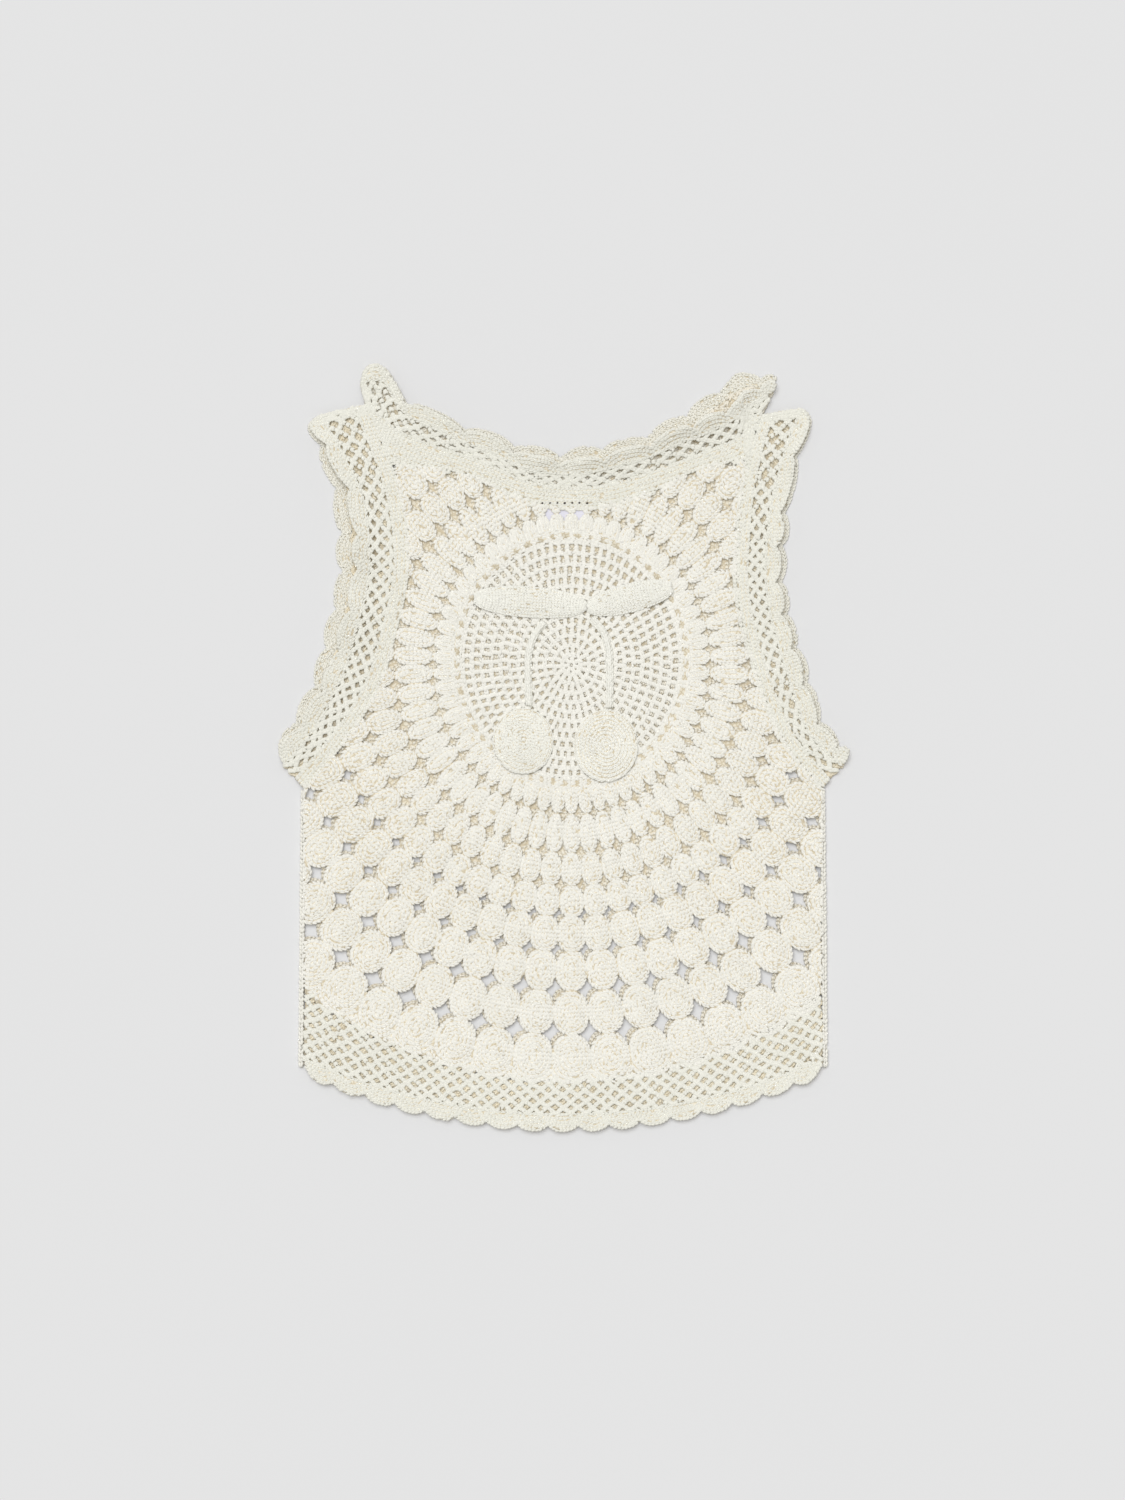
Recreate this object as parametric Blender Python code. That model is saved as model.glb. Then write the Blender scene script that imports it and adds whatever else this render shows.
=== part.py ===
"""A sleeveless crochet top lying flat on its back panel, front side up.

The front and the back are each one field of round motifs, worked outwards from an open-work
medallion in columns that widen ring by ring. Scalloped edgings close the neck, the armholes and
the hem, and a sprig of two cherries is sewn on the front medallion.

All sizes below are millimetres: X to the right, Y towards the neck, Z up from the surface it
lies on. The meshes are scaled to metres when they are made.
"""

import math
from collections import namedtuple

import bpy
from mathutils import Vector
from mathutils.geometry import delaunay_2d_cdt

MM = 0.001  # metres in a millimetre

# ---------------------------------------------------------------- driving sizes
WALL = 2.2  # the worked cloth, one layer
SEAM_GAP = 0.6  # between pieces that are joined
LAYER_GAP = 0.6  # between the back and the front that lies on it
DOME = 1.7  # how far a round motif rises over the cloth
BAND_RISE = 0.7  # the dense rows beside an edging
SWELL = 1.3  # the front's soft unevenness

BODY_HALF_WIDTH = 214.0  # at the underarm, to the side seam
HEM_HALF_WIDTH = 216.2  # the same at the hem
UNDERARM_Y = -103.0
SIDE_SEAM_WIDTH = 3.2
SIDE_SEAM_PROFILE = ((0.0, -0.6), (0.5, 0.3), (1.0, -0.9))  # share of its width, and its rise
SIDE_SEAM_ABOVE_HEM = 5.0  # how far over the hem's corner it ends
YOKE_CORNER_Y = -273.0  # where the motif field ends at the side seam
YOKE_SAG = 72.0  # how much lower it ends in the middle
HEM_CORNER_Y = -338.5
HEM_SAG = 46.5
HEM_LOBES = 17

# ---------------------------------------------------------------- the motif field
COLUMNS = 58
SQUEEZE = 0.92  # the columns crowd towards the middle of the body by this much
SIDE_DRAW = 0.08  # the inner rings are drawn in at the sides by this share
DRAW_FADES = 156.0  # from this radius on they are drawn in less
DRAW_ENDS = 240.0  # and from this one not at all
TOP_STRETCH = 0.05  # the rings reach further towards the neck by this share
MEDALLION_RADIUS = 98.0
FRONT_CENTRE = (7.0, 0.0)
BACK_CENTRE = (4.0, 3.0)

Ring = namedtuple("Ring", "inner outer gap_width gap_length")
# One row for each ring of motifs: its two radii, and the gap at its outer corners.
RINGS = [
    Ring(98.0, 124.0, 4.4, 11.5),
    Ring(124.0, 156.0, 5.2, 11.5),
    Ring(156.0, 183.0, 6.4, 9.5),
    Ring(183.0, 209.0, 8.0, 8.0),
    Ring(209.0, 238.0, 10.0, 9.0),
    Ring(238.0, 271.0, 15.0, 13.0),
    Ring(271.0, 307.0, 18.0, 15.5),
    Ring(307.0, 345.0, 0.0, 0.0),
]
OVAL_RINGS = 3  # the inner rings' motifs are narrow ovals, the others are round
BACK_GAPS_FROM = 3  # the back's smaller gaps, in the rings before this one, stay closed
GAP_MARGIN = 3.0  # cloth left between a gap and the edge of its panel
MOTIF_MARGIN = 2.0  # and between a raised point and that edge
OVAL_END, OVAL_END_RISE = 0.55, 0.8  # an oval's ridge: how far it reaches, and its rise there
ROUND_RIM, ROUND_RIM_RISE = 0.58, 0.75  # a round motif's shoulder, likewise
ROUND_RIM_COLUMN = 0.29  # and how far it reaches sideways, in columns

# ---------------------------------------------------------------- the edgings
Section = namedtuple("Section", "x y turn band front back rise")
# Sections along an edging: a point on the panel's edge, the way the edging leaves it in degrees
# from +X, its dense band's width, how far the front's and the back's edging reach, and how far
# the front's one rises at its rim.
LEFT_ARM = [
    Section(-163, 216, 193, 11, 50, 51, 2),
    Section(-149, 180, 184, 11, 46, 52, 4),
    Section(-134, 137, 177, 12, 43, 55, 6),
    Section(-129, 100, 179, 12, 43, 57, 6),
    Section(-130, 69, 180, 12, 43, 56, 5),
    Section(-138, 32, 173, 12, 43, 55, 4),
    Section(-149, -8, 160, 12, 43, 54, 3),
    Section(-165, -40, 149, 12, 41, 49, 3),
    Section(-188, -70, 140, 11, 36, 43, 4),
    Section(-215.5, -102, 130, 11, 36, 37, 3),
]
RIGHT_ARM = [
    Section(165.5, 207, 10, 10, 43, 44, 2),
    Section(156, 178, 3, 10, 40, 43, 2),
    Section(148, 137, 4, 10, 37, 41, 2),
    Section(145, 100, 3, 10, 35, 40, 3),
    Section(144, 71, 5, 10, 35, 40, 3),
    Section(148, 40, 8, 10, 35, 40, 3),
    Section(156, 10, 13, 10, 35, 40, 3),
    Section(168, -28, 20, 10, 35, 40, 3),
    Section(187, -68, 33, 10, 32, 36, 3),
    Section(215.5, -102, 49, 10, 35, 36, 3),
]
NECK = [
    Section(-161, 211, 106, 2, 35, 36, 2),
    Section(-149, 187, 98, 21, 58, 59, 3),
    Section(-142, 169, 84, 28, 54, 55, 3),
    Section(-115, 165, 86, 20, 44, 46, 3),
    Section(-88, 161, 80, 15, 35, 38, 3),
    Section(-62, 152, 73, 14, 33, 37, 4),
    Section(-36, 139, 72, 15, 34, 42, 4),
    Section(-8, 131, 82, 18, 38, 44, 5),
    Section(14, 130, 90, 18, 38, 48, 6),
    Section(41, 134, 100, 17, 39, 48, 7),
    Section(72, 144, 107, 16, 37, 45, 8),
    Section(105, 160, 113, 12, 35, 44, 9),
    Section(131, 168, 115, 14, 37, 50, 9),
    Section(152, 173, 104, 18, 43, 62, 8),
    Section(157, 190, 96, 16, 36, 51, 6),
    Section(163.5, 208, 61, 3, 30, 31, 4),
]
FIELD_NECK = (2, 13)  # the motif field runs along the sections between these two
STRAP_CLEARANCE = 3.0  # how far under its corner the field leaves the armhole

Edging = namedtuple("Edging", "sections lobes first_notch ruffle")
# first_notch is the column where the first notch between two lobes lies, ruffle the waves' height.
EDGINGS = {
    "armhole_edging_left": Edging(LEFT_ARM, 9, 0, 3.0),
    "armhole_edging_right": Edging(RIGHT_ARM, 10, 2, 2.4),
    "neck_edging": Edging(NECK, 12, 0, 2.6),
}
COLUMNS_A_LOBE = 4
LOBE_DEPTH = 5.0
LOBE_SHAPE = (0.0, 0.78, 1.0, 0.78)  # from one notch between lobes to the next
NET_SHARE = 0.66  # how far out the net reaches between the band and the lobes
NET_RISE, NET_WAVE = 0.55, 0.6  # its share of the rim's rise and of the waves there
HEM_BAND_SHARE, HEM_NET_SHARE = 0.12, 0.72  # the hem's rows between the field and the rim
HEM_BAND_RISE, HEM_RISE, HEM_RUFFLE = 0.3, 0.6, 0.9
HEM_WAVE_LOBES = 3.0  # lobes from one wave of the hem to the next

# ---------------------------------------------------------------- what is sewn on
APPLIQUE = 1.9  # its thickness at the rim
APPLIQUE_DOME = 1.3
RAMP_STARTS = 76.0  # from this far out it climbs, to lie over the first ring of motifs
Leaf = namedtuple("Leaf", "base_x base_y length width turn")
LEAVES = {
    "leaf_left": Leaf(19, 49, 93, 27, 176),
    "leaf_right": Leaf(20.5, 47, 72, 25, 14),
}
Cherry = namedtuple("Cherry", "x y half_width half_height")
CHERRIES = {
    "cherry_left": Cherry(-33, -63, 25, 27.5),
    "cherry_right": Cherry(35.5, -67, 26.5, 30),
}
Stem = namedtuple("Stem", "points width")
STEMS = {
    "stem_left": Stem([(-16, 35), (-25, 22), (-29, 3), (-28, -33)], 5.4),
    "stem_right": Stem([(24, 38), (34, 26), (38.5, 4), (38.5, -35)], 5.8),
}
Label = namedtuple("Label", "x y width height thick")
LABEL = Label(1.5, 127.5, 40.0, 19.0, 0.4)

YARN = (0.82, 0.80, 0.71)
LABEL_WHITE = (0.80, 0.79, 0.84)


# ---------------------------------------------------------------- plane geometry
def smooth(rows, count):
    """count + 1 rows along a Catmull-Rom curve through rows of numbers, ends included."""
    made = []
    spans = len(rows) - 1
    for i in range(count + 1):
        at = i * spans / count
        k = min(int(at), spans - 1)
        t = at - k
        before, start, end, after = (
            rows[max(k - 1, 0)], rows[k], rows[k + 1], rows[min(k + 2, spans)]
        )
        made.append(tuple(
            0.5 * (2 * b + (c - a) * t + (2 * a - 5 * b + 4 * c - d) * t**2
                   + (3 * b - a - 3 * c + d) * t**3)
            for a, b, c, d in zip(before, start, end, after)
        ))
    return made


def inside(point, polygon):
    x, y = point
    crossings = False
    for (ax, ay), (bx, by) in zip(polygon, polygon[1:] + polygon[:1]):
        if (ay > y) != (by > y) and x < ax + (y - ay) * (bx - ax) / (by - ay):
            crossings = not crossings
    return crossings


def distance(point, polygon):
    """How far a point is from a polygon's edges."""
    best = math.inf
    p = Vector(point)
    for a, b in zip(polygon, polygon[1:] + polygon[:1]):
        a, b = Vector(a), Vector(b)
        along = max(0.0, min(1.0, (p - a).dot(b - a) / max((b - a).length_squared, 1e-9)))
        best = min(best, (p - a.lerp(b, along)).length)
    return best


def inset(polygon, gap):
    """A counter-clockwise polygon moved inwards by gap."""
    made = []
    for i, point in enumerate(polygon):
        before, here, after = (Vector(polygon[j]) for j in (i - 1, i, (i + 1) % len(polygon)))
        normals = [Vector((b.y - a.y, a.x - b.x)).normalized()
                   for a, b in ((before, here), (here, after))]
        middle = normals[0] + normals[1]
        made.append(tuple(here - middle * (gap / max(0.35, 0.5 * middle.length_squared))))
    return made


def arc_y(x, half_width, corner_y, sag):
    """The height at x of a circular arc hanging by sag between its corners."""
    radius = (half_width**2 + sag**2) / (2 * sag)
    return corner_y - sag + radius - math.sqrt(radius**2 - x**2)


def field_point(centre, radius, column):
    """A point of the motif field; column 0 runs straight down from the medallion."""
    turn = 2 * math.pi * column / COLUMNS
    draw = SIDE_DRAW * max(0.0, min(1.0, (DRAW_ENDS - radius) / (DRAW_ENDS - DRAW_FADES)))
    reach = radius * (1 - draw * math.sin(turn) ** 2 + TOP_STRETCH * (1 - math.cos(turn)) / 2)
    seen = math.atan2(SQUEEZE * math.sin(turn), math.cos(turn))
    return centre[0] + reach * math.sin(seen), centre[1] - reach * math.cos(seen)


def lift(x, y):
    """The front's soft unevenness: how far its cloth is off the back's."""
    return SWELL * (1 + 0.5 * math.sin(x / 61 + 0.8) * math.cos(y / 83)
                    + 0.5 * math.sin(x / 37 - y / 52)) / 2


def back_under(x, y):
    return 0.0


def front_under(x, y):
    return WALL + LAYER_GAP + lift(x, y)


# ---------------------------------------------------------------- making solids
def yarn_material(name, colour, roughness=0.95):
    material = bpy.data.materials.get(name) or bpy.data.materials.new(name)
    material.use_nodes = True
    shader = material.node_tree.nodes["Principled BSDF"]
    shader.inputs["Base Color"].default_value = (*colour, 1)
    shader.inputs["Roughness"].default_value = roughness
    shader.inputs["Metallic"].default_value = 0.0
    return material


def solid(name, points, faces, material="yarn", colour=YARN):
    """One named object from points in millimetres."""
    mesh = bpy.data.meshes.new(name)
    mesh.from_pydata([Vector(p) * MM for p in points], [], faces)
    mesh.validate()
    mesh.shade_smooth()
    mesh.set_sharp_from_angle(angle=math.radians(40))
    mesh.materials.append(yarn_material(material, colour))
    made = bpy.data.objects.new(name, mesh)
    bpy.context.scene.collection.objects.link(made)
    return made


def triangles(loops, extra):
    """The triangles between an outline and the holes in it, through the extra points."""
    points, faces = [], []
    for loop in loops:
        faces.append(list(range(len(points), len(points) + len(loop))))
        points += loop
    points += extra
    found = delaunay_2d_cdt([Vector(p) for p in points], [], faces, 1, 1e-6, True)
    source = [origins[0] for origins in found[3]]
    return [tuple(source[v] for v in face)
            for face, inputs in zip(found[2], found[5]) if inputs == [0]]


def cloth_wall(name, loops, under, over, shared=(), raised=(), **look):
    """A wall of cloth over an outline with gaps cut through it.

    loops is the outline and then the gaps, under and over give the two faces' heights, shared
    are points that shape both faces, and raised are (x, y, rise) of the outer face alone.
    """
    rim = [p for loop in loops for p in loop]
    shared, relief = list(shared), [(x, y) for x, y, _ in raised]
    top = [(x, y, over(x, y)) for x, y in rim + shared]
    top += [(x, y, over(x, y) + rise) for x, y, rise in raised]
    bottom = [(x, y, under(x, y)) for x, y in rim + shared]
    faces = triangles(loops, shared + relief)
    faces += [tuple(len(top) + v for v in reversed(face)) for face in triangles(loops, shared)]
    start = 0
    for number, loop in enumerate(loops):
        for i in range(len(loop)):
            a, b = start + i, start + (i + 1) % len(loop)
            side = (a, len(top) + a, len(top) + b, b)
            faces.append(side if signed_area(loop) * (1 if number == 0 else -1) > 0
                         else tuple(reversed(side)))
        start += len(loop)
    return solid(name, top + bottom, faces, **look)


def signed_area(loop):
    return sum(ax * by - bx * ay for (ax, ay), (bx, by) in zip(loop, loop[1:] + loop[:1])) / 2


def ribbon(name, rows, under, thick=WALL):
    """A wall lofted through rows of points that run side by side; each row is (x, y, rise)."""
    across, along = len(rows), len(rows[0])
    low = [(x, y, under(x, y) + rise) for row in rows for x, y, rise in row]
    high = [(x, y, z + thick) for x, y, z in low]
    faces = []
    for r in range(across - 1):
        for c in range(along - 1):
            a = r * along + c
            quad = (a, a + 1, a + along + 1, a + along)
            faces += [quad, tuple(len(low) + v for v in reversed(quad))]
    rim = [c for c in range(along)]
    rim += [r * along + along - 1 for r in range(1, across)]
    rim += [(across - 1) * along + c for c in reversed(range(along - 1))]
    rim += [r * along for r in reversed(range(1, across - 1))]
    faces += [(b, a, a + len(low), b + len(low)) for a, b in zip(rim, rim[1:] + rim[:1])]
    made = solid(name, low + high, faces)
    if signed_area([rows[0][0][:2], rows[0][-1][:2], rows[-1][-1][:2], rows[-1][0][:2]]) > 0:
        made.data.flip_normals()
    return made


# ---------------------------------------------------------------- outlines
def stations(edging):
    """An edging's sections, one for each column of points along it."""
    rows = smooth([tuple(s) for s in edging.sections], edging.lobes * COLUMNS_A_LOBE)
    return [Section(*row) for row in rows]


def field_outline():
    """The motif field's outline, counter-clockwise from the left underarm."""
    yoke = [-BODY_HALF_WIDTH - 1 + (BODY_HALF_WIDTH + 1) * i / 10 for i in range(21)]
    outline = [(x, arc_y(x, BODY_HALF_WIDTH + 1, YOKE_CORNER_Y, YOKE_SAG)) for x in yoke]
    table = stations(EDGINGS["neck_edging"])
    to_station = (len(table) - 1) / (len(NECK) - 1)
    first, last = math.ceil(FIELD_NECK[0] * to_station), math.floor(FIELD_NECK[1] * to_station)
    neck = [(s.x, s.y) for s in table[first:last + 1:2]]
    left, right = ([(s.x, s.y) for s in stations(EDGINGS["armhole_edging_" + side])[::2]]
                   for side in ("left", "right"))
    outline += [p for p in reversed(right) if p[1] < neck[-1][1] - STRAP_CLEARANCE]
    outline += list(reversed(neck))
    outline += [p for p in left if p[1] < neck[0][1] - STRAP_CLEARANCE]
    return inset(outline, SEAM_GAP)


def gap_loop(centre, radius, column, width, length):
    """The four-pointed gap between motifs, its sides drawn in at the column's line."""
    x, y = field_point(centre, radius, column)
    ax, ay = field_point(centre, radius + 1, column)
    out = Vector((ax - x, ay - y)).normalized()
    side = Vector((out.y, -out.x))
    at = Vector((x, y))
    return [tuple(at + out * (length / 2)), tuple(at - side * (width / 2)),
            tuple(at - out * (length / 2)), tuple(at + side * (width / 2))]


def gap_loops(centre, outline, from_ring):
    """Every gap of the field that lies well inside its outline."""
    made = []
    for ring in RINGS[from_ring:]:
        for column in range(COLUMNS if ring.gap_width else 0):
            loop = gap_loop(centre, ring.outer, column + 0.5, ring.gap_width, ring.gap_length)
            if all(inside(p, outline) and distance(p, outline) > GAP_MARGIN for p in loop):
                made.append(loop)
    return made


def motif_points(centre, outline):
    """(x, y, rise) over every motif: its crown, and the valleys where it meets the next."""
    made = []
    for number, ring in enumerate(RINGS):
        middle = (ring.inner + ring.outer) / 2
        half_length = (ring.outer - ring.inner) / 2
        for column in range(COLUMNS):
            crown = [(middle, 0.0, DOME), (middle, 0.5, 0.0)]
            if number < OVAL_RINGS:
                crown += [(middle + s * OVAL_END * half_length, 0.0, OVAL_END_RISE * DOME)
                          for s in (-1, 1)]
            else:
                crown.append((ring.outer, 0.0, 0.0))
                for k in range(6):
                    turn = math.pi * k / 3
                    crown.append((middle + ROUND_RIM * half_length * math.cos(turn),
                                  ROUND_RIM_COLUMN * math.sin(turn), ROUND_RIM_RISE * DOME))
            for radius, sideways, rise in crown:
                point = field_point(centre, radius, column + sideways)
                if inside(point, outline) and distance(point, outline) > MOTIF_MARGIN:
                    made.append((*point, rise))
    return made


def medallion_points(centre):
    """A few points that let the medallion follow the cloth's unevenness, up to its level rim."""
    made = [centre]
    for share, count in ((0.35, 6), (0.68, 12), (0.99, 29)):
        made += [field_point(centre, share * MEDALLION_RADIUS, COLUMNS * k / count)
                 for k in range(count)]
    return made


# ---------------------------------------------------------------- the pieces
def front():
    outline = field_outline()
    cloth_wall(
        "front_panel",
        [outline, *gap_loops(FRONT_CENTRE, outline, 0)],
        front_under,
        lambda x, y: front_under(x, y) + WALL,
        shared=medallion_points(FRONT_CENTRE),
        raised=motif_points(FRONT_CENTRE, outline),
    )


def back():
    outline = field_outline()
    cloth_wall(
        "back_panel",
        [outline, *gap_loops(BACK_CENTRE, outline, BACK_GAPS_FROM)],
        back_under,
        lambda x, y: WALL,
    )


def edging_rows(edging, layer):
    """Rows of points along an edging, the inner row first, each point (x, y, rise)."""
    rows = [[], [], [], []]
    table = stations(edging)
    for i, s in enumerate(table):
        way = Vector((math.cos(math.radians(s.turn)), math.sin(math.radians(s.turn))))
        lobe = LOBE_SHAPE[(i - edging.first_notch) % COLUMNS_A_LOBE] - 0.5
        wave = 0.5 - 0.5 * math.cos(math.pi * i / COLUMNS_A_LOBE)
        wave *= edging.ruffle * math.sin(math.pi * i / (len(table) - 1)) ** 0.5
        reach = getattr(s, layer)
        for row, out, rise in (
            (rows[0], 0.0, 0.0),
            (rows[1], s.band, BAND_RISE),
            (rows[2], s.band + (reach - s.band) * NET_SHARE, NET_RISE * s.rise + NET_WAVE * wave),
            (rows[3], reach + LOBE_DEPTH * lobe, s.rise + wave),
        ):
            at = Vector((s.x, s.y)) + way * out
            row.append((at.x, at.y, rise))
    return rows


def flat_rows(rows):
    """The same rows for the layer underneath, which lies flat: no waves and no band."""
    return [[(x, y, 0.0) for x, y, _ in row] for row in (rows[0], rows[2], rows[3])]


def edgings():
    """The neck's and the armholes' edgings: the front's in waves, the back's flat under it."""
    for name, edging in EDGINGS.items():
        ribbon(name + "_front", edging_rows(edging, "front"), front_under)
        ribbon(name + "_back", flat_rows(edging_rows(edging, "back")), back_under)


def hem():
    """The hem's edging on both layers, between the yoke's arc and the scalloped one."""
    columns = HEM_LOBES * COLUMNS_A_LOBE
    front_rows = [[], [], [], []]
    for i in range(columns + 1):
        share = 2 * i / columns - 1
        lobe = LOBE_SHAPE[i % COLUMNS_A_LOBE] - 0.5
        wave = 0.5 - 0.5 * math.cos(2 * math.pi * i / (HEM_WAVE_LOBES * COLUMNS_A_LOBE))
        x0, x1 = share * BODY_HALF_WIDTH, share * HEM_HALF_WIDTH
        y0 = arc_y(x0, BODY_HALF_WIDTH, YOKE_CORNER_Y - 1, YOKE_SAG)
        y1 = arc_y(x1, HEM_HALF_WIDTH, HEM_CORNER_Y, HEM_SAG) - LOBE_DEPTH * lobe
        for row, out, rise in (
            (front_rows[0], 0.0, 0.0),
            (front_rows[1], HEM_BAND_SHARE, HEM_BAND_RISE),
            (front_rows[2], HEM_NET_SHARE, NET_WAVE * (HEM_RISE + HEM_RUFFLE * wave)),
            (front_rows[3], 1.0, HEM_RISE + HEM_RUFFLE * wave),
        ):
            row.append((x0 + (x1 - x0) * out, y0 + (y1 - y0) * out, rise))
    ribbon("hem_edging_front", front_rows, front_under)
    ribbon("hem_edging_back", flat_rows(front_rows), back_under)


def side_seam(name, side):
    """The joining row down a side: a round-topped strip as high as both layers."""
    rows = []
    top_y, low_y = UNDERARM_Y - 1.0, HEM_CORNER_Y + SIDE_SEAM_ABOVE_HEM
    height = 2 * WALL + LAYER_GAP
    for out, rise in SIDE_SEAM_PROFILE:
        row = []
        for i in range(9):
            y = top_y + (low_y - top_y) * i / 8
            edge = BODY_HALF_WIDTH + 1 + (HEM_HALF_WIDTH - BODY_HALF_WIDTH) * i / 8
            row.append((side * (edge + SEAM_GAP + out * SIDE_SEAM_WIDTH), y, rise))
        rows.append(row)
    low = [[(x, y, 0.0) for x, y, _ in row] for row in rows]
    made = ribbon(name, low, back_under, height)
    count = len(rows) * len(rows[0])
    for vertex, (_, _, rise) in zip(made.data.vertices[count:], [p for row in rows for p in row]):
        vertex.co.z += rise * MM


def front_over(x, y):
    """The height that lies clear of the front's outer face, motifs included."""
    beyond = math.hypot(x - FRONT_CENTRE[0], y - FRONT_CENTRE[1]) - RAMP_STARTS
    climb = max(0.0, min(1.0, beyond / (SQUEEZE * MEDALLION_RADIUS - RAMP_STARTS)))
    return front_under(x, y) + WALL + LAYER_GAP + DOME * climb


def sewn_on(name, outline, crown):
    """A piece sewn on the front: its own wall over the front's, domed along its crown."""
    cloth_wall(name, [outline], front_over, lambda x, y: front_over(x, y) + APPLIQUE,
               raised=[(x, y, APPLIQUE_DOME) for x, y in crown])


def leaf(name, spec):
    way = Vector((math.cos(math.radians(spec.turn)), math.sin(math.radians(spec.turn))))
    side = Vector((-way.y, way.x))
    base = Vector((spec.base_x, spec.base_y))
    edge = [base + way * spec.length * (1 - math.cos(math.pi * k / 8)) / 2
            + side * spec.width / 2 * math.sin(math.pi * k / 8) ** 0.85 for k in range(9)]
    mirrored = [p - 2 * side * (p - base).dot(side) for p in edge[-2:0:-1]]
    outline = [tuple(p) for p in edge + mirrored]
    if signed_area(outline) < 0:
        outline.reverse()
    sewn_on(name, outline, [tuple(base + way * spec.length * t) for t in (0.25, 0.5, 0.75)])


def cherry(name, spec):
    def oval(share, count):
        return [(spec.x + share * spec.half_width * math.cos(2 * math.pi * k / count),
                 spec.y + share * spec.half_height * math.sin(2 * math.pi * k / count))
                for k in range(count)]
    sewn_on(name, oval(1.0, 20), oval(0.55, 8) + [(spec.x, spec.y)])


def stem(name, spec):
    line = [Vector(p) for p in smooth(spec.points, 8)]
    left, right = [], []
    for i, point in enumerate(line):
        way = (line[min(i + 1, 8)] - line[max(i - 1, 0)]).normalized()
        side = Vector((-way.y, way.x)) * spec.width / 2
        left.append(tuple(point + side))
        right.append(tuple(point - side))
    outline = left + right[::-1]
    if signed_area(outline) < 0:
        outline.reverse()
    sewn_on(name, outline, [tuple(p) for p in line[1:-1]])


def label():
    """The blank woven label inside the back's neck."""
    x, y, w, h = LABEL.x, LABEL.y, LABEL.width / 2, LABEL.height / 2
    outline = [(x - w, y - h), (x + w, y - h), (x + w, y + h), (x - w, y + h)]
    low = WALL + SEAM_GAP / 2
    cloth_wall("neck_label", [outline], lambda x, y: low, lambda x, y: low + LABEL.thick,
               material="label", colour=LABEL_WHITE)


def centre_on_origin():
    """Puts the middle of the whole top over the origin."""
    objects = [o for o in bpy.context.scene.objects if o.type == "MESH"]
    points = [v.co for o in objects for v in o.data.vertices]
    middle = [(min(p[k] for p in points) + max(p[k] for p in points)) / 2 for k in (0, 1)]
    for made in objects:
        for vertex in made.data.vertices:
            vertex.co.x -= middle[0]
            vertex.co.y -= middle[1]


def main():
    for old in list(bpy.data.objects):
        bpy.data.objects.remove(old)
    back()
    front()
    edgings()
    hem()
    side_seam("side_seam_left", -1)
    side_seam("side_seam_right", 1)
    label()
    for name, spec in LEAVES.items():
        leaf(name, spec)
    for name, spec in CHERRIES.items():
        cherry(name, spec)
    for name, spec in STEMS.items():
        stem(name, spec)
    centre_on_origin()


main()
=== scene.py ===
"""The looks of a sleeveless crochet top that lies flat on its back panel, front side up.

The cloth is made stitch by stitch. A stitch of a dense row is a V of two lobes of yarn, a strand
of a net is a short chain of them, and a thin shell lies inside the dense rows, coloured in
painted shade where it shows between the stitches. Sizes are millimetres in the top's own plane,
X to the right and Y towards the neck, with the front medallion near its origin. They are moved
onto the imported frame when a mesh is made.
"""

import math
from collections import namedtuple

import bpy
import numpy as np
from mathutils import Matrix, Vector
from mathutils.geometry import delaunay_2d_cdt

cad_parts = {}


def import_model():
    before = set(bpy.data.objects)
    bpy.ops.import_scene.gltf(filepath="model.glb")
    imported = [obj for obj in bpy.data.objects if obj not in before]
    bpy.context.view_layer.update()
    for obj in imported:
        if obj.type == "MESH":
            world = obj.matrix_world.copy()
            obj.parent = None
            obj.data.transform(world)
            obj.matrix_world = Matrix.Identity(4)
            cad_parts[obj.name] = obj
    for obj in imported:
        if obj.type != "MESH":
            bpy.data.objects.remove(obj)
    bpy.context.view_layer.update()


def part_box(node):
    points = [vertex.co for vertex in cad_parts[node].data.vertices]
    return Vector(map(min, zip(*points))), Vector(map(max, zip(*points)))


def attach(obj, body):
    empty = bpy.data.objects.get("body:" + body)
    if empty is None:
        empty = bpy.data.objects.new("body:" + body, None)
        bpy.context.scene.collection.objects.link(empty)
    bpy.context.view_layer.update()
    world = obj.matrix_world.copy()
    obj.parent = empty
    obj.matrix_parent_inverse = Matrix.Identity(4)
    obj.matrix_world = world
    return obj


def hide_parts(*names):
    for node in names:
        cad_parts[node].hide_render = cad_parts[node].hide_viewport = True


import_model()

MM = 0.001  # metres in a millimetre
BODY = "root"

# ---- the cloth's plan, as in the CAD
WALL = 2.2
LAYER_GAP = 0.6
SEAM_GAP = 0.6
DOME = 1.7
BAND_RISE = 0.7
SWELL = 1.3
BODY_HALF_WIDTH = 214.0
HEM_HALF_WIDTH = 216.2
UNDERARM_Y = -103.0
YOKE_CORNER_Y, YOKE_SAG = -273.0, 72.0
HEM_CORNER_Y, HEM_SAG = -338.5, 46.5
HEM_LOBES = 17
COLUMNS = 58
SQUEEZE = 0.92
SIDE_DRAW, DRAW_FADES, DRAW_ENDS = 0.08, 156.0, 240.0
STRETCH_RADII = (60.0, 98.0, 124.0, 156.0)
TOP_STRETCHES = (0.05, 0.10, 0.015, 0.05)  # how much further out the top lies at these radii
MEDALLION_RADIUS = 98.0
FRONT_CENTRE = (7.0, 0.0)
BACK_CENTRE = (4.0, 3.0)
STRAP_CLEARANCE = 3.0
BACK_GAPS_FROM = 3  # the first ring whose gaps are open in the back panel

MOTIF_SHARE = 0.955  # of its column's width that a motif fills


class Ring(namedtuple("Ring", "inner outer gap_width gap_length")):
    """A ring of motifs between two radii, and the gaps between it and the next ring."""

    @property
    def middle(self):
        return (self.inner + self.outer) / 2

    @property
    def half_length(self):
        return (self.outer - self.inner) / 2

    @property
    def half_width(self):
        return MOTIF_SHARE * math.pi * self.middle / COLUMNS


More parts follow.
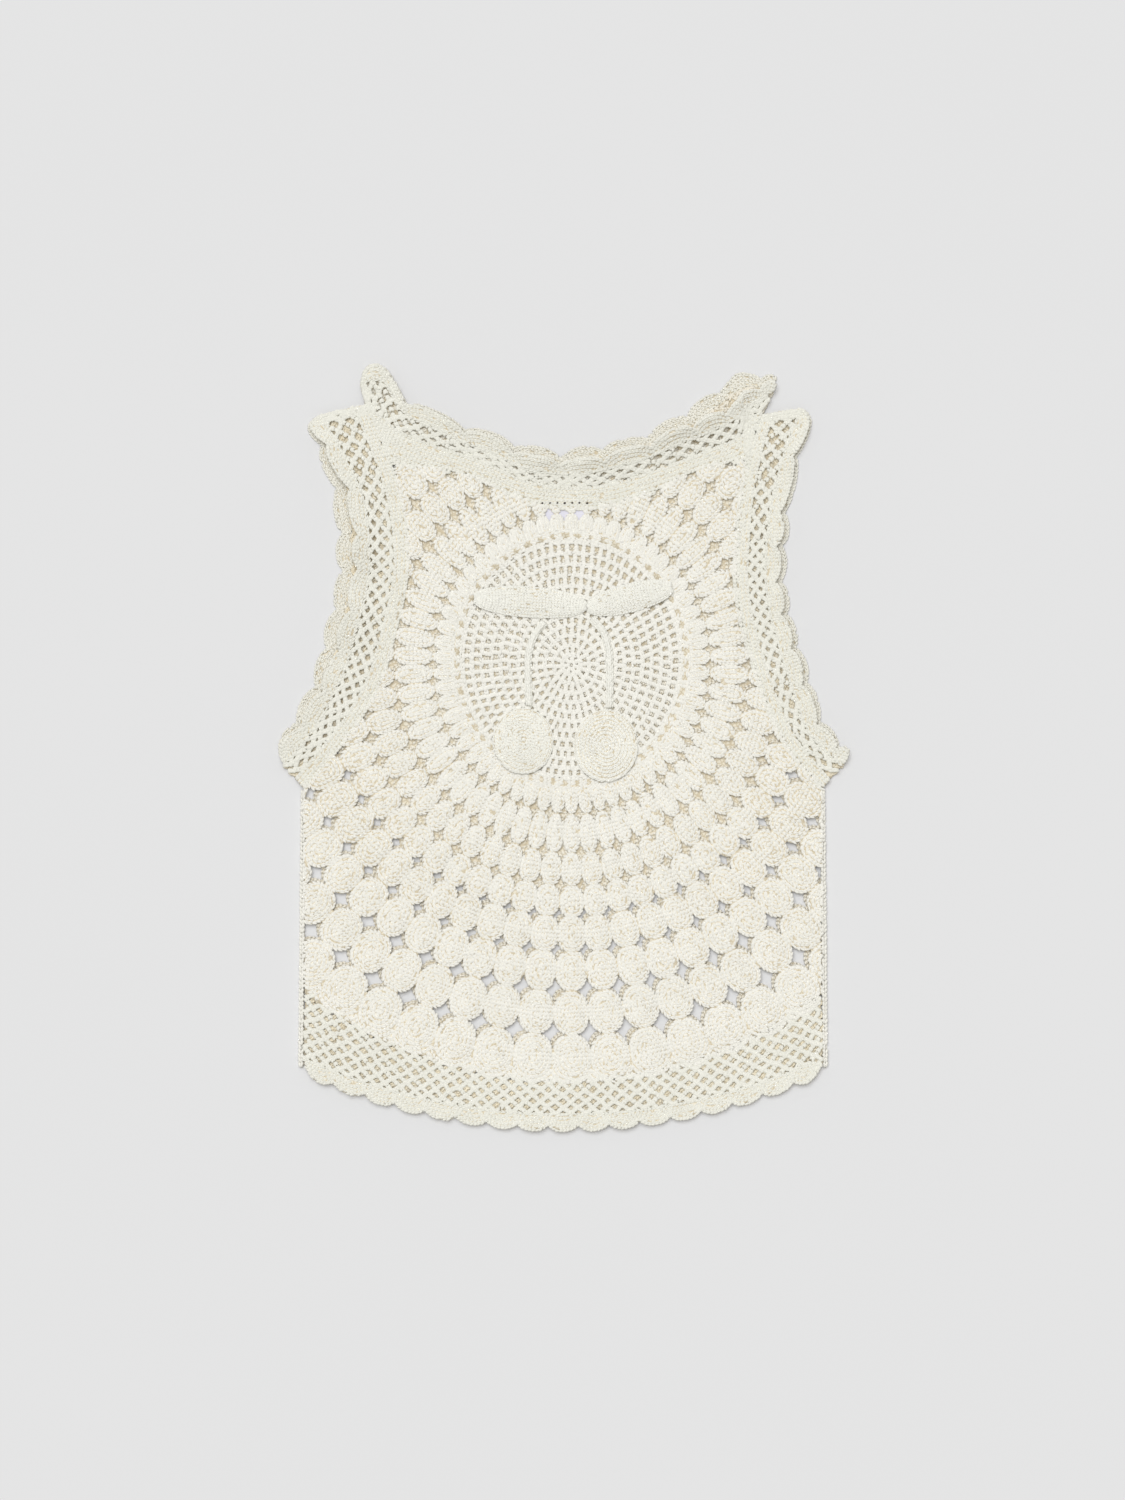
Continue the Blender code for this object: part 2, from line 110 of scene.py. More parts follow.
# The gaps of the first two rings are 2 mm longer than in the CAD.
RINGS = [
    Ring(98.0, 124.0, 4.4, 14.0),
    Ring(124.0, 156.0, 5.2, 13.5),
    Ring(156.0, 183.0, 6.4, 9.5),
    Ring(183.0, 209.0, 8.0, 8.0),
    Ring(209.0, 238.0, 10.0, 9.0),
    Ring(238.0, 271.0, 15.0, 13.0),
    Ring(271.0, 307.0, 18.0, 15.5),
    Ring(307.0, 345.0, 0.0, 0.0),
]

# The sections of an edging: where it starts at the panel's edge, the way out from there in
# degrees, how far out its band, the front's rim and the back's rim lie, and how high the front's.
SECTION = ("x", "y", "turn", "band", "front", "back", "rise")
LEFT_ARM = [
    (-163, 216, 193, 11, 50, 51, 2),
    (-149, 180, 184, 11, 46, 52, 4),
    (-134, 137, 177, 12, 43, 55, 6),
    (-129, 100, 179, 12, 43, 57, 6),
    (-130, 69, 180, 12, 43, 56, 5),
    (-138, 32, 173, 12, 43, 55, 4),
    (-149, -8, 160, 12, 43, 54, 3),
    (-165, -40, 149, 12, 41, 49, 3),
    (-188, -70, 140, 11, 36, 43, 4),
    (-215.5, -102, 130, 11, 36, 37, 3),
]
RIGHT_ARM = [
    (165.5, 207, 10, 10, 43, 44, 2),
    (156, 178, 3, 10, 40, 43, 2),
    (148, 137, 4, 10, 37, 41, 2),
    (145, 100, 3, 10, 35, 40, 3),
    (144, 71, 5, 10, 35, 40, 3),
    (148, 40, 8, 10, 35, 40, 3),
    (156, 10, 13, 10, 35, 40, 3),
    (168, -28, 20, 10, 35, 40, 3),
    (187, -68, 33, 10, 32, 36, 3),
    (215.5, -102, 49, 10, 35, 36, 3),
]
NECK = [
    (-161, 211, 106, 2, 35, 36, 2),
    (-149, 187, 98, 21, 58, 59, 3),
    (-142, 169, 84, 28, 54, 55, 3),
    (-115, 165, 86, 20, 44, 46, 3),
    (-88, 161, 80, 15, 35, 38, 3),
    (-62, 152, 73, 14, 33, 37, 4),
    (-36, 139, 72, 15, 34, 42, 4),
    (-8, 131, 82, 18, 38, 44, 5),
    (14, 130, 90, 18, 38, 48, 6),
    (41, 134, 100, 17, 39, 48, 7),
    (72, 144, 107, 16, 37, 45, 8),
    (105, 160, 113, 12, 35, 44, 9),
    (131, 168, 115, 14, 37, 50, 9),
    (152, 173, 104, 18, 43, 62, 8),
    (157, 190, 96, 16, 36, 51, 6),
    (163.5, 208, 61, 3, 30, 31, 4),
]
FIELD_NECK = (2, 13)
COLUMNS_A_LOBE = 4
NET_SHARE, NET_RISE, NET_WAVE = 0.66, 0.55, 0.6

# lobes is the number of an edging's scallops, ruffle the height of its waves, net_rows the number
# of rows of holes, mesh their length along it, fan the scallops' depth, crest and notch how far
# they reach past their mean line and fall short of it, and marks where the notches are.
Edging = namedtuple("Edging", "sections lobes ruffle net_rows mesh fan crest notch marks")
EDGINGS = {
    "armhole_edging_left": Edging(
        LEFT_ARM, 9, 3.0, 4, 13.0, 11.0, 3.1, 3.4,
        (0, .09, .2, .31, .407, .526, .647, .787, .903, 1)),
    "armhole_edging_right": Edging(
        RIGHT_ARM, 10, 2.4, 3, 13.0, 11.0, 2.2, 3.8,
        (0, .13, .26, .343, .463, .567, .68, .775, .88, .953, 1)),
    "neck_edging": Edging(
        NECK, 12, 2.6, 3, 14.0, 10.0, 3.4, 3.6,
        (0, .153, .267, .36, .467, .6, .69, .777, .847, .96, 1)),
}
HEM = Edging(None, HEM_LOBES, 0.9, 12, 12.3, 12.0, 2.4, 3.6,
             tuple(k / HEM_LOBES for k in range(HEM_LOBES + 1)))
HEM_RISE, HEM_WAVE_LOBES = 0.6, 3.0
HEM_DEPTH, HEM_TAPER = 42.0, 65.0  # over which its rim rises, and over which its sides draw in
HEM_MESH_STEP = 5.1  # from one row of its net to the next

NECK_SWELLS = ((7.0, 0.105, 0.035), (-4.0, 0.0, 0.03))  # of its reach: how much, where, how wide

Leaf = namedtuple("Leaf", "base_x base_y length width turn")
LEAVES = {
    "leaf_left": Leaf(19, 49, 93, 27, 176),
    "leaf_right": Leaf(20.5, 47, 72, 25, 14),
}
Cherry = namedtuple("Cherry", "x y half_width half_height")
CHERRIES = {
    "cherry_left": Cherry(-33, -63, 25, 27.5),
    "cherry_right": Cherry(35.5, -67, 26.5, 30),
}
Stem = namedtuple("Stem", "points width")
STEMS = {
    "stem_left": Stem([(-16, 35), (-25, 22), (-29, 3), (-28, -33)], 5.4),
    "stem_right": Stem([(24, 38), (34, 26), (38.5, 4), (38.5, -35)], 5.8),
}
RAMP_STARTS = 76.0
Label = namedtuple("Label", "x y width height")
LABEL = Label(1.5, 127.5, 40.0, 19.0)

# ---- the stitches
STITCH = 3.3  # along a row
ROW = 3.3  # from one row to the next
STITCH_HEIGHT = 2.0
NET_HEIGHT = 0.95 * STITCH_HEIGHT
MIDDLE = 1.2  # the stitches' middle over the cloth's underside
SHELL_MIDDLE, SHELL_THICK = 0.8, 0.7
# A stitch's two lobes: the angle between them and the row, their dip, and their length,
# thickness and spread as shares of the stitch.
Braid = namedtuple("Braid", "turn dip length thick spread")
DENSE = Braid(math.radians(16), 0.12, 1.5, 0.62, 0.235)
CORD = Braid(math.radians(12), 0.10, 1.6, 0.60, 0.22)
SMOOTH = Braid(math.radians(9), 0.07, 1.85, 0.60, 0.20)
SEWN = Braid(math.radians(13), 0.11, 1.45, 0.57, 0.25)
PINHOLES, FEW_PINHOLES = 0.05, 0.03  # the share of a dense row's lobes that are left out, where the painted shade of the shell below shows
ROOF = 0.32  # how much the two lobes lean away from each other
WOBBLE, TWIST, UNEVEN = 0.12, 0.10, 0.06  # of the lobes' places, directions and sizes

LABEL_LOW, LABEL_HIGH = (np.array(corner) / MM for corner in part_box("neck_label"))
SHIFT = (LABEL_LOW + LABEL_HIGH) / 2 - (LABEL.x, LABEL.y, 0.0)
SHIFT[2] = 0.0
UP = np.array((0.0, 0.0, 1.0))


# ---- small vector tools
def unit(v):
    return v / np.maximum(np.linalg.norm(v, axis=-1, keepdims=True), 1e-9)


def columns_of(*parts):
    return np.stack(np.broadcast_arrays(*parts), axis=-1)


def smooth(rows, count):
    """count + 1 rows along a Catmull-Rom curve through rows of numbers, ends included."""
    rows = np.array(rows, float)
    at = np.linspace(0, len(rows) - 1, count + 1)
    k = np.minimum(at.astype(int), len(rows) - 2)
    t = (at - k)[:, None]
    a, b = rows[np.maximum(k - 1, 0)], rows[k]
    c, d = rows[k + 1], rows[np.minimum(k + 2, len(rows) - 1)]
    return 0.5 * (2 * b + (c - a) * t + (2 * a - 5 * b + 4 * c - d) * t**2
                  + (3 * b - a - 3 * c + d) * t**3)


def inside(points, polygon):
    """Which of the points lie inside a polygon."""
    x, y = points[:, 0], points[:, 1]
    found = np.zeros(len(points), bool)
    for (ax, ay), (bx, by) in zip(polygon, np.roll(polygon, -1, axis=0)):
        if ay != by:
            crosses = (ay > y) != (by > y)
            found ^= crosses & (x < ax + (y - ay) * (bx - ax) / (by - ay))
    return found


def edge_distance(points, polygon):
    """How far each of the points is from a polygon's edges."""
    best = np.full(len(points), np.inf)
    for a, b in zip(polygon, np.roll(polygon, -1, axis=0)):
        along = np.clip((points - a) @ (b - a) / max((b - a) @ (b - a), 1e-9), 0, 1)
        best = np.minimum(best, np.linalg.norm(points - a - along[:, None] * (b - a), axis=1))
    return best


def inset(polygon, gap):
    """A counter-clockwise polygon moved inwards by gap."""
    before = unit(polygon - np.roll(polygon, 1, axis=0))
    after = np.roll(before, -1, axis=0)
    middle = columns_of(before[:, 1] + after[:, 1], -before[:, 0] - after[:, 0])
    size = np.maximum(0.35, 0.5 * np.sum(middle**2, axis=1, keepdims=True))
    return polygon - middle * gap / size


def path_length(path):
    return float(np.linalg.norm(np.diff(path, axis=0), axis=1).sum())


def even_points(path, pitch):
    """Points at an even pitch along a dense path, the way it runs there, and the true pitch."""
    steps = np.linalg.norm(np.diff(path, axis=0), axis=1)
    reach = np.concatenate(([0.0], np.cumsum(steps)))
    count = max(1, int(round(reach[-1] / pitch)))
    wanted = (np.arange(count) + 0.5) * reach[-1] / count

    def read(at):
        return columns_of(*(np.interp(at, reach, column) for column in path.T))
    way = unit(read(wanted + pitch / 3) - read(wanted - pitch / 3))
    return read(wanted), way, reach[-1] / count


# ---- meshes
def add_mesh(name, points, triangles, material, slot, tones=None):
    """One smooth-shaded piece from points in millimetres; tones are a value for each point."""
    mesh = bpy.data.meshes.new(name)
    mesh.vertices.add(len(points))
    mesh.vertices.foreach_set("co", ((points + SHIFT) * MM).astype(np.float32).ravel())
    mesh.loops.add(3 * len(triangles))
    mesh.loops.foreach_set("vertex_index", triangles.astype(np.int32).ravel())
    mesh.polygons.add(len(triangles))
    mesh.polygons.foreach_set("loop_start", np.arange(0, 3 * len(triangles), 3, dtype=np.int32))
    mesh.update(calc_edges=True)
    mesh.validate()
    mesh.shade_smooth()
    if tones is not None:
        mesh.attributes.new("tone", "FLOAT", "POINT").data.foreach_set(
            "value", tones.astype(np.float32))
    mesh.materials.append(material)
    made = bpy.data.objects.new(name, mesh)
    bpy.context.scene.collection.objects.link(made)
    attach(made, BODY)
    return made


def lobe_form(sides, rings):
    """A pointed lobe of length, width and height 1 along X: its points and triangles."""
    points = [(-0.5, 0, 0)]
    for x, swell in rings:
        for k in range(sides):
            turn = 2 * math.pi * k / sides
            points.append((x, swell * math.sin(turn) / 2, swell * math.cos(turn) / 2))
    points.append((0.5, 0, 0))
    last = len(points) - 1
    triangles = []
    for k in range(sides):
        m = (k + 1) % sides
        triangles.append((0, 1 + m, 1 + k))
        for ring in range(len(rings) - 1):
            a, b = 1 + ring * sides + k, 1 + ring * sides + m
            triangles += [(a, b, b + sides), (a, b + sides, a + sides)]
        base = 1 + (len(rings) - 1) * sides
        triangles.append((last, base + k, base + m))
    return np.array(points), np.array(triangles)


FULL_LOBE = lobe_form(4, ((-0.24, 1.0), (0.24, 1.0)))
PLAIN_LOBE = lobe_form(4, ((0.0, 1.15),))


def cap_form():
    """The upper half of a lobe, for stitches whose undersides lie in the cloth."""
    points = [(-0.5, 0, -0.12)]
    for x in (-0.23, 0.23):
        points += [(x, -0.5, -0.12), (x, 0, 0.5), (x, 0.5, -0.12)]
    points.append((0.5, 0, -0.12))
    triangles = [(0, 2, 1), (0, 3, 2), (1, 2, 5), (1, 5, 4), (2, 3, 6), (2, 6, 5),
                 (7, 4, 5), (7, 5, 6)]
    return np.array(points), np.array(triangles)


CAP_LOBE = cap_form()


MOST_TRIANGLES = 150_000  # in one piece


class Yarn:
    """Lobes of yarn gathered for the pieces of one part of the top."""

    def __init__(self, form, seed, pinholes=PINHOLES):
        self.form, self.pinholes = form, pinholes
        self.random = np.random.default_rng(seed)
        self.parts = []

    def lobes(self, at, along, up, length, width, height):
        count = len(at)
        draw = self.random.normal
        at = at + draw(0, WOBBLE, (count, 3))
        along = unit(along + draw(0, TWIST, (count, 3)))
        size = columns_of(length, width, height) * np.ones((count, 1))
        size = size * (1 + draw(0, UNEVEN, (count, 1)))
        side = unit(np.cross(np.broadcast_to(up, (count, 3)), along))
        self.parts.append(np.concatenate(
            (at, along, side, np.cross(along, side), size, self.random.random((count, 1))), axis=1))

    def braid(self, at, along, up, pitch, width, height=STITCH_HEIGHT, style=DENSE):
        """A V of two lobes at each point, which make a braid along the row."""
        up = np.broadcast_to(up, at.shape)
        side = unit(np.cross(up, along))
        for hand in (-1, 1):
            way = unit(along * math.cos(style.turn) - side * (hand * math.sin(style.turn))
                       - up * style.dip)
            place, roof = at + side * (hand * width * style.spread), up + side * (hand * ROOF)
            if style in (DENSE, SEWN):
                there = self.random.random(len(at)) > self.pinholes
                place, way, roof = place[there], way[there], roof[there]
            self.lobes(place, way, roof, style.length * pitch, style.thick * width, height)

    def braid_path(self, path, up, pitch=STITCH, width=ROW, height=STITCH_HEIGHT, style=DENSE):
        """Braids a dense path; up is one direction or one for each of its points."""
        both = np.concatenate((path, np.broadcast_to(up, path.shape)), axis=1)
        both, along, true_pitch = even_points(both, pitch)
        self.braid(both[:, :3], unit(along[:, :3]), unit(both[:, 3:]), true_pitch, width, height,
                   style)

    def cord(self, start, end, up, width, height=STITCH_HEIGHT, pitch=3.2):
        """A short chain of braided stitches from each start point to its end point."""
        gap = end - start
        length = np.linalg.norm(gap, axis=1)
        count = max(1, int(round(float(np.mean(length)) / pitch)))
        for k in range(count):
            self.braid(start + gap * ((k + 0.5) / count), unit(gap), up,
                       float(np.mean(length)) / count, width, height, CORD)

    def keep(self, test):
        """Drops the lobes whose middles fail a test of their places."""
        self.parts = [part[test(part[:, :3])] for part in self.parts]

    def piece(self, name, material, slot):
        """The gathered lobes as one or more pieces, none of them too large."""
        rows = np.concatenate(self.parts)
        points, triangles = self.form
        count = max(1, math.ceil(len(rows) * len(triangles) / MOST_TRIANGLES))
        made = []
        for number, part in enumerate(np.array_split(rows, count)):
            at, along, side, up, size, tone = np.split(part, (3, 6, 9, 12, 15), axis=1)
            places = at[:, None] + sum(
                points[None, :, k, None] * (size[:, k, None] * way)[:, None]
                for k, way in enumerate((along, side, up)))
            faces = triangles[None] + (np.arange(len(part)) * len(points))[:, None, None]
            label = name if count == 1 else f"{name}_{number + 1}"
            made.append(add_mesh(label, places.reshape(-1, 3), faces.reshape(-1, 3), material, slot,
                                 np.repeat(tone[:, 0], len(points))))
        return made


def face_normals(points, triangles):
    """The triangles' normals, twice as long as their areas."""
    a, b, c = (points[triangles[:, k]] for k in range(3))
    return np.cross(b - a, c - a)


def thicken(points, triangles, thick):
    """A closed skin of the given thickness round a sheet of triangles."""
    count = len(points)
    face_up = face_normals(points, triangles)
    normal = np.zeros_like(points)
    for k in range(3):
        np.add.at(normal, triangles[:, k], face_up)
    offset = unit(normal) * thick / 2
    edges = np.concatenate([triangles[:, [0, 1]], triangles[:, [1, 2]], triangles[:, [2, 0]]])
    key, mirrored = (edges[:, k] * count + edges[:, 1 - k] for k in (0, 1))
    rim = edges[~np.isin(key, mirrored)]
    a, b = rim[:, 0], rim[:, 1]
    walls = np.concatenate([columns_of(a, a + count, b + count), columns_of(a, b + count, b)])
    return (np.concatenate([points + offset, points - offset]),
            np.concatenate([triangles, triangles[:, ::-1] + count, walls]))


def grid_triangles(rows, columns, start=0, closed=False):
    """The triangles of a grid of points, whose rows may close into rings."""
    row = columns * np.arange(rows - 1)[:, None] + start
    column = np.arange(columns if closed else columns - 1)[None]
    a, b = (row + column).ravel(), (row + (column + 1) % columns).ravel()
    return np.concatenate([columns_of(a, b, b + columns), columns_of(a, b + columns, a + columns)])


def cloth_shell(name, points, triangles, material, slot):
    """A thin closed shell in the middle of the stitches, with its flat area."""
    normals = face_normals(points, triangles)
    triangles = np.where(normals[:, 2:] < 0, triangles[:, ::-1], triangles)
    made = add_mesh(name, *thicken(points, triangles, SHELL_THICK), material, slot)
    return made, float(np.linalg.norm(normals, axis=1).sum()) / 2 * MM**2


# ---- the motif field
def arc_y(x, half_width, corner_y, sag):
    radius = (half_width**2 + sag**2) / (2 * sag)
    return corner_y - sag + radius - np.sqrt(np.maximum(radius**2 - x**2, 0))


def stretch(radius, turn):
    """How much further out the field's points lie than their radius."""
    draw = SIDE_DRAW * np.clip((DRAW_ENDS - radius) / (DRAW_ENDS - DRAW_FADES), 0, 1)
    top = np.interp(radius, STRETCH_RADII, TOP_STRETCHES)
    return 1 - draw * np.sin(turn)**2 + top * (1 - np.cos(turn)) / 2


def field_point(centre, radius, column):
    """Points of the motif field; column 0 runs straight down from the medallion."""
    turn = 2 * np.pi * column / COLUMNS
    reach = radius * stretch(radius, turn)
    seen = np.arctan2(SQUEEZE * np.sin(turn), np.cos(turn))
    return columns_of(centre[0] + reach * np.sin(seen), centre[1] - reach * np.cos(seen))


def field_place(centre, points):
    """The radius and column of points of the field: field_point the other way round."""
    x, y = points[:, 0] - centre[0], centre[1] - points[:, 1]
    seen = np.arctan2(x, y)
    turn = np.arctan2(np.sin(seen) / SQUEEZE, np.cos(seen))
    reach, radius = np.hypot(x, y), np.hypot(x, y)
    for _ in range(6):
        radius = 0.5 * radius + 0.5 * reach / stretch(radius, turn)
    return radius, (turn * COLUMNS / (2 * np.pi)) % COLUMNS


def lift(x, y):
    """The slow unevenness of cloth that lies on cloth."""
    return SWELL * (1 + 0.5 * np.sin(x / 61 + 0.8) * np.cos(y / 83)
                    + 0.5 * np.sin(x / 37 - y / 52)) / 2


# The two layers' open work sags together: the back's lies this much higher than its edges,
# and the front's this much lower than its motifs.
OPEN_WORK_SHIFT = {"back": 1.0, "front": -0.2}
# The back's middle rises by a crown and a share of the front's unevenness, away from its sides.
BACK_CROWN, BACK_SHARE = 0.8, 0.7
CROWN_FADES, CROWN_ENDS, CROWN_MARGIN = 185.0, 215.0, 60.0


def under(layer, points):
    """The height of a layer's underside at points of the plane."""
    uneven = lift(points[:, 0], points[:, 1])
    if layer == "front":
        return WALL + LAYER_GAP + uneven
    away = np.hypot(points[:, 0] - BACK_CENTRE[0], points[:, 1] - BACK_CENTRE[1])
    fade = np.clip((CROWN_ENDS - away) / (CROWN_ENDS - CROWN_FADES), 0, 1)
    beside = np.abs(points[:, 0]) >= BODY_HALF_WIDTH - CROWN_MARGIN
    return np.where(beside, 0.0, (BACK_CROWN + BACK_SHARE * uneven) * fade)


def with_height(points, height=0.0):
    return np.concatenate((points, np.reshape(height * np.ones(len(points)), (-1, 1))), axis=1)


def laid(layer, plan, rise=0.0):
    """The places of a layer's stitches at points of the plane."""
    return with_height(plan, under(layer, plan) + MIDDLE + rise)


# How far a gap's side lies from the motif's corner, as a share of the gap: slots near the
# medallion, four-pointed gaps further out.
CORNER_CUT = (0.62, 0.62, 0.60, 0.57, 0.54, 0.52, 0.50, 0.50)
ROUND_END = 2.3  # the exponent of a motif's free end
SQUARE_END = 5.0  # and of its end at the rounds about the medallion


def bulge(v, exponent):
    """A coordinate of a superellipse from its cosine or sine."""
    return np.sign(v) * np.abs(v)**(2 / exponent)


def motif_curve(ring, swell, turn, exponent):
    """A motif's boundary moved outwards by swell: sideways and outwards from its middle."""
    return columns_of((ring.half_width + swell) * bulge(np.cos(turn), exponent),
                      (ring.half_length + swell) * bulge(np.sin(turn), exponent))


def corner_exponent(number, ring):
    """The exponent at which a ring's motifs leave the gaps that follow ring number."""
    if number < 0:
        return SQUARE_END
    gap = RINGS[number]
    if not gap.gap_width:
        return ROUND_END
    u, v = (1 - CORNER_CUT[number] * min(0.9, size / (2 * half)) for size, half in (
        (gap.gap_width, ring.half_width), (gap.gap_length, ring.half_length)))
    low, high = 1.2, 8.0
    for _ in range(30):
        middle = (low + high) / 2
        low, high = (middle, high) if u**middle + v**middle > 1 else (low, middle)
    return low


GAP_OVERHANG, GAP_TIP = 0.7, 0.965  # how far the stitches reach over the shell's gaps


def gap_loop(centre, number, column):
    """The shell's gap between four motifs, whose sides are the motifs' boundaries."""
    loop = []
    for step, side, up in ((0, 1, 1), (1, 1, -1), (1, -1, -1), (0, -1, 1)):
        ring = RINGS[number + step]
        power = corner_exponent(number, ring)
        tip = GAP_TIP**(power / 2)
        turn = np.linspace(math.acos(tip), math.asin(tip), 5)[::side * up]
        u = side * bulge(np.cos(turn), power) * (1 - GAP_OVERHANG / ring.half_width)
        v = up * bulge(np.sin(turn), power) * (ring.half_length - GAP_OVERHANG)
        loop.append(field_point(centre, ring.middle + v, column - side * 0.5 + u / 2))
    return np.concatenate(loop)


SHELL_DOME = 0.85  # the share of the domes that the shell follows
MOTIF_DOME, DOME_POWER = 0.8, 3.6  # how much a motif's middle rises, and how flat its top is
DOME_WIDTH = 9.0  # the half width of the smallest motif that rises in full
ROUNDS_END = 105.0  # dense rounds lie between the open medallion and this radius


def dome_top(layer, ring):
    return MOTIF_DOME * min(1.0, ring.half_width / DOME_WIDTH) if layer == "front" else 0.0


def dome(layer, centre, points):
    """How much the motifs rise over the cloth at points of the plane."""
    radius, column = field_place(centre, points)
    rise = np.zeros(len(points))
    u = (column + 0.5) % 1 * 2 - 1
    for ring in RINGS:
        here = (radius >= ring.inner) & (radius < ring.outer)
        size = np.clip(np.hypot(u, (radius - ring.middle) / ring.half_length), 0, 1)
        rise = np.where(here, dome_top(layer, ring) * (1 - size**DOME_POWER), rise)
    return np.where(radius < ROUNDS_END, 0.0, rise)


def field_outline():
    """The motif field's outline, counter-clockwise from the left underarm."""
    yoke = np.linspace(-BODY_HALF_WIDTH - 1, BODY_HALF_WIDTH + 1, 21)
    outline = [(x, float(arc_y(x, BODY_HALF_WIDTH + 1, YOKE_CORNER_Y, YOKE_SAG))) for x in yoke]
    left, right, neck = (
        [tuple(row[:2]) for row in smooth(edging.sections, edging.lobes * COLUMNS_A_LOBE)]
        for edging in EDGINGS.values())
    to_station = (len(neck) - 1) / (len(NECK) - 1)
    first, last = math.ceil(FIELD_NECK[0] * to_station), math.floor(FIELD_NECK[1] * to_station)
    neck = neck[first:last + 1:2]
    outline += [p for p in right[::-2] if p[1] < neck[-1][1] - STRAP_CLEARANCE]
    outline += neck[::-1]
    outline += [p for p in left[::2] if p[1] < neck[0][1] - STRAP_CLEARANCE]
    return inset(np.array(outline), SEAM_GAP)


OUTLINE = field_outline()
STITCHED_OUTLINE = inset(OUTLINE, -1.2)
MEDALLION_CUT = 95.0  # the shell ends here, where the medallion's open rounds begin
OPEN_RADIUS, ROUNDS_GAP = 93.5, 2.3  # of the outermost open round, and from it to a dense one
PIN_RADIUS, PIN_LENGTH, PIN_WIDTH = 98.5, 4.8, 4.6  # the ring of small holes round them, where the shell's painted shade shows


# Where the shell's points lie on a motif, as shares of its length and of its column's width.
RELIEF_SHARES = (0.45, 0.8)
END_COLUMNS, END_SHARES = (-0.4, 0.4, 0.5), (0.6, 0.85)  # and more at the last ring's free ends
RELIEF_MARGIN = 1.5  # how far they keep from the outline


def relief_points(layer, centre):
    """The points of the plane between its edges and gaps at which a shell takes its height."""
    column = np.arange(COLUMNS)
    relief = []
    for ring in RINGS:
        if ring is RINGS[-1]:
            relief += [field_point(centre, ring.middle + v * ring.half_length, column + u)
                       for u in END_COLUMNS for v in END_SHARES]
        relief += [field_point(centre, ring.middle, column + u) for u in (0, 0.5)]
        relief += [field_point(centre, ring.middle + share * ring.half_length * math.sin(turn),
                               column + 0.5 * share * math.cos(turn))
                   for turn in np.arange(8) * math.pi / 4 for share in RELIEF_SHARES]
    if layer == "back":
        relief += [field_point(centre, radius, column[::2])
                   for radius in np.arange(9, MEDALLION_RADIUS, 8)]
    relief = np.concatenate(relief)
    relief = relief[inside(relief, OUTLINE)]
    return relief[edge_distance(relief, OUTLINE) > RELIEF_MARGIN]


def panel_shell(name, layer, centre, material):
    """The shell of a panel's motif field, with its gaps and the front's open medallion left out."""
    loops = [OUTLINE]
    if layer == "front":
        loops.append(field_point(centre, MEDALLION_CUT, np.arange(2 * COLUMNS) / 2))
    for number in range(BACK_GAPS_FROM if layer == "back" else 0, len(RINGS) - 1):
        for column in range(COLUMNS):
            loop = gap_loop(centre, number, column + 0.5)
            if inside(loop, OUTLINE).any():
                loops.append(loop)
    ends = np.cumsum([len(loop) for loop in loops])
    borders = [list(range(end - len(loop), end)) for loop, end in zip(loops, ends)]
    plan = np.concatenate(loops + [relief_points(layer, centre)])
    found = delaunay_2d_cdt([Vector(p) for p in plan], [], borders, 1, 1e-6, True)
    triangles = np.array([face for face, inputs in zip(found[2], found[5]) if inputs == [0]])
    used = np.unique(triangles)
    plan = np.array([tuple(place) for place in found[0]])[used]
    height = under(layer, plan) + SHELL_MIDDLE + SHELL_DOME * dome(layer, centre, plan)
    if layer == "back":
        open_work = field_place(centre, plan)[0] < MEDALLION_CUT
        height = height + open_work * (OPEN_WORK_SHIFT["back"] - BACK_CROWN)
    return cloth_shell(name, with_height(plan, height), np.searchsorted(used, triangles),
                       material, "motif_yarn")


EDGE_PUSH = 0.14  # how far the outermost row is pushed out over the motif's boundary
ROUND_MIDDLE = 2.1  # the exponent of a motif's innermost row
MOTIF_SHIFT, PUFF_SPREAD = 0.3, 0.12  # how uneven the motifs' places and rises are


def motif_row(number, depth, core):
    """A closed curve at some depth in a motif."""
    ring = RINGS[number]
    turn = np.linspace(0, 2 * np.pi, 241)
    ends = np.where(np.sin(turn) > 0, corner_exponent(number, ring),
                    corner_exponent(number - 1, ring))
    share = depth / core
    exponent = ends * (1 - share) + ROUND_MIDDLE * share
    return motif_curve(ring, -depth, turn, exponent)


def motif_map(centre, ring, outwards, sideways=0.0):
    """The map from places on one motif to those on all of a ring's, each a little shifted."""
    column = np.arange(COLUMNS)[:, None] + sideways / (2 * ring.half_width)

    def world(local):
        return field_point(centre, ring.middle + local[:, 1] + outwards,
                           column + local[:, 0] / (2 * ring.half_width)).reshape(-1, 2)
    return world


def ahead(world, at, along):
    """The way that stitches run on the cloth."""
    return with_height(unit(world(at + along * 0.5) - world(at - along * 0.5)))


def ring_points(centre, radius):
    return field_point(centre, radius, np.linspace(0, COLUMNS, 361))


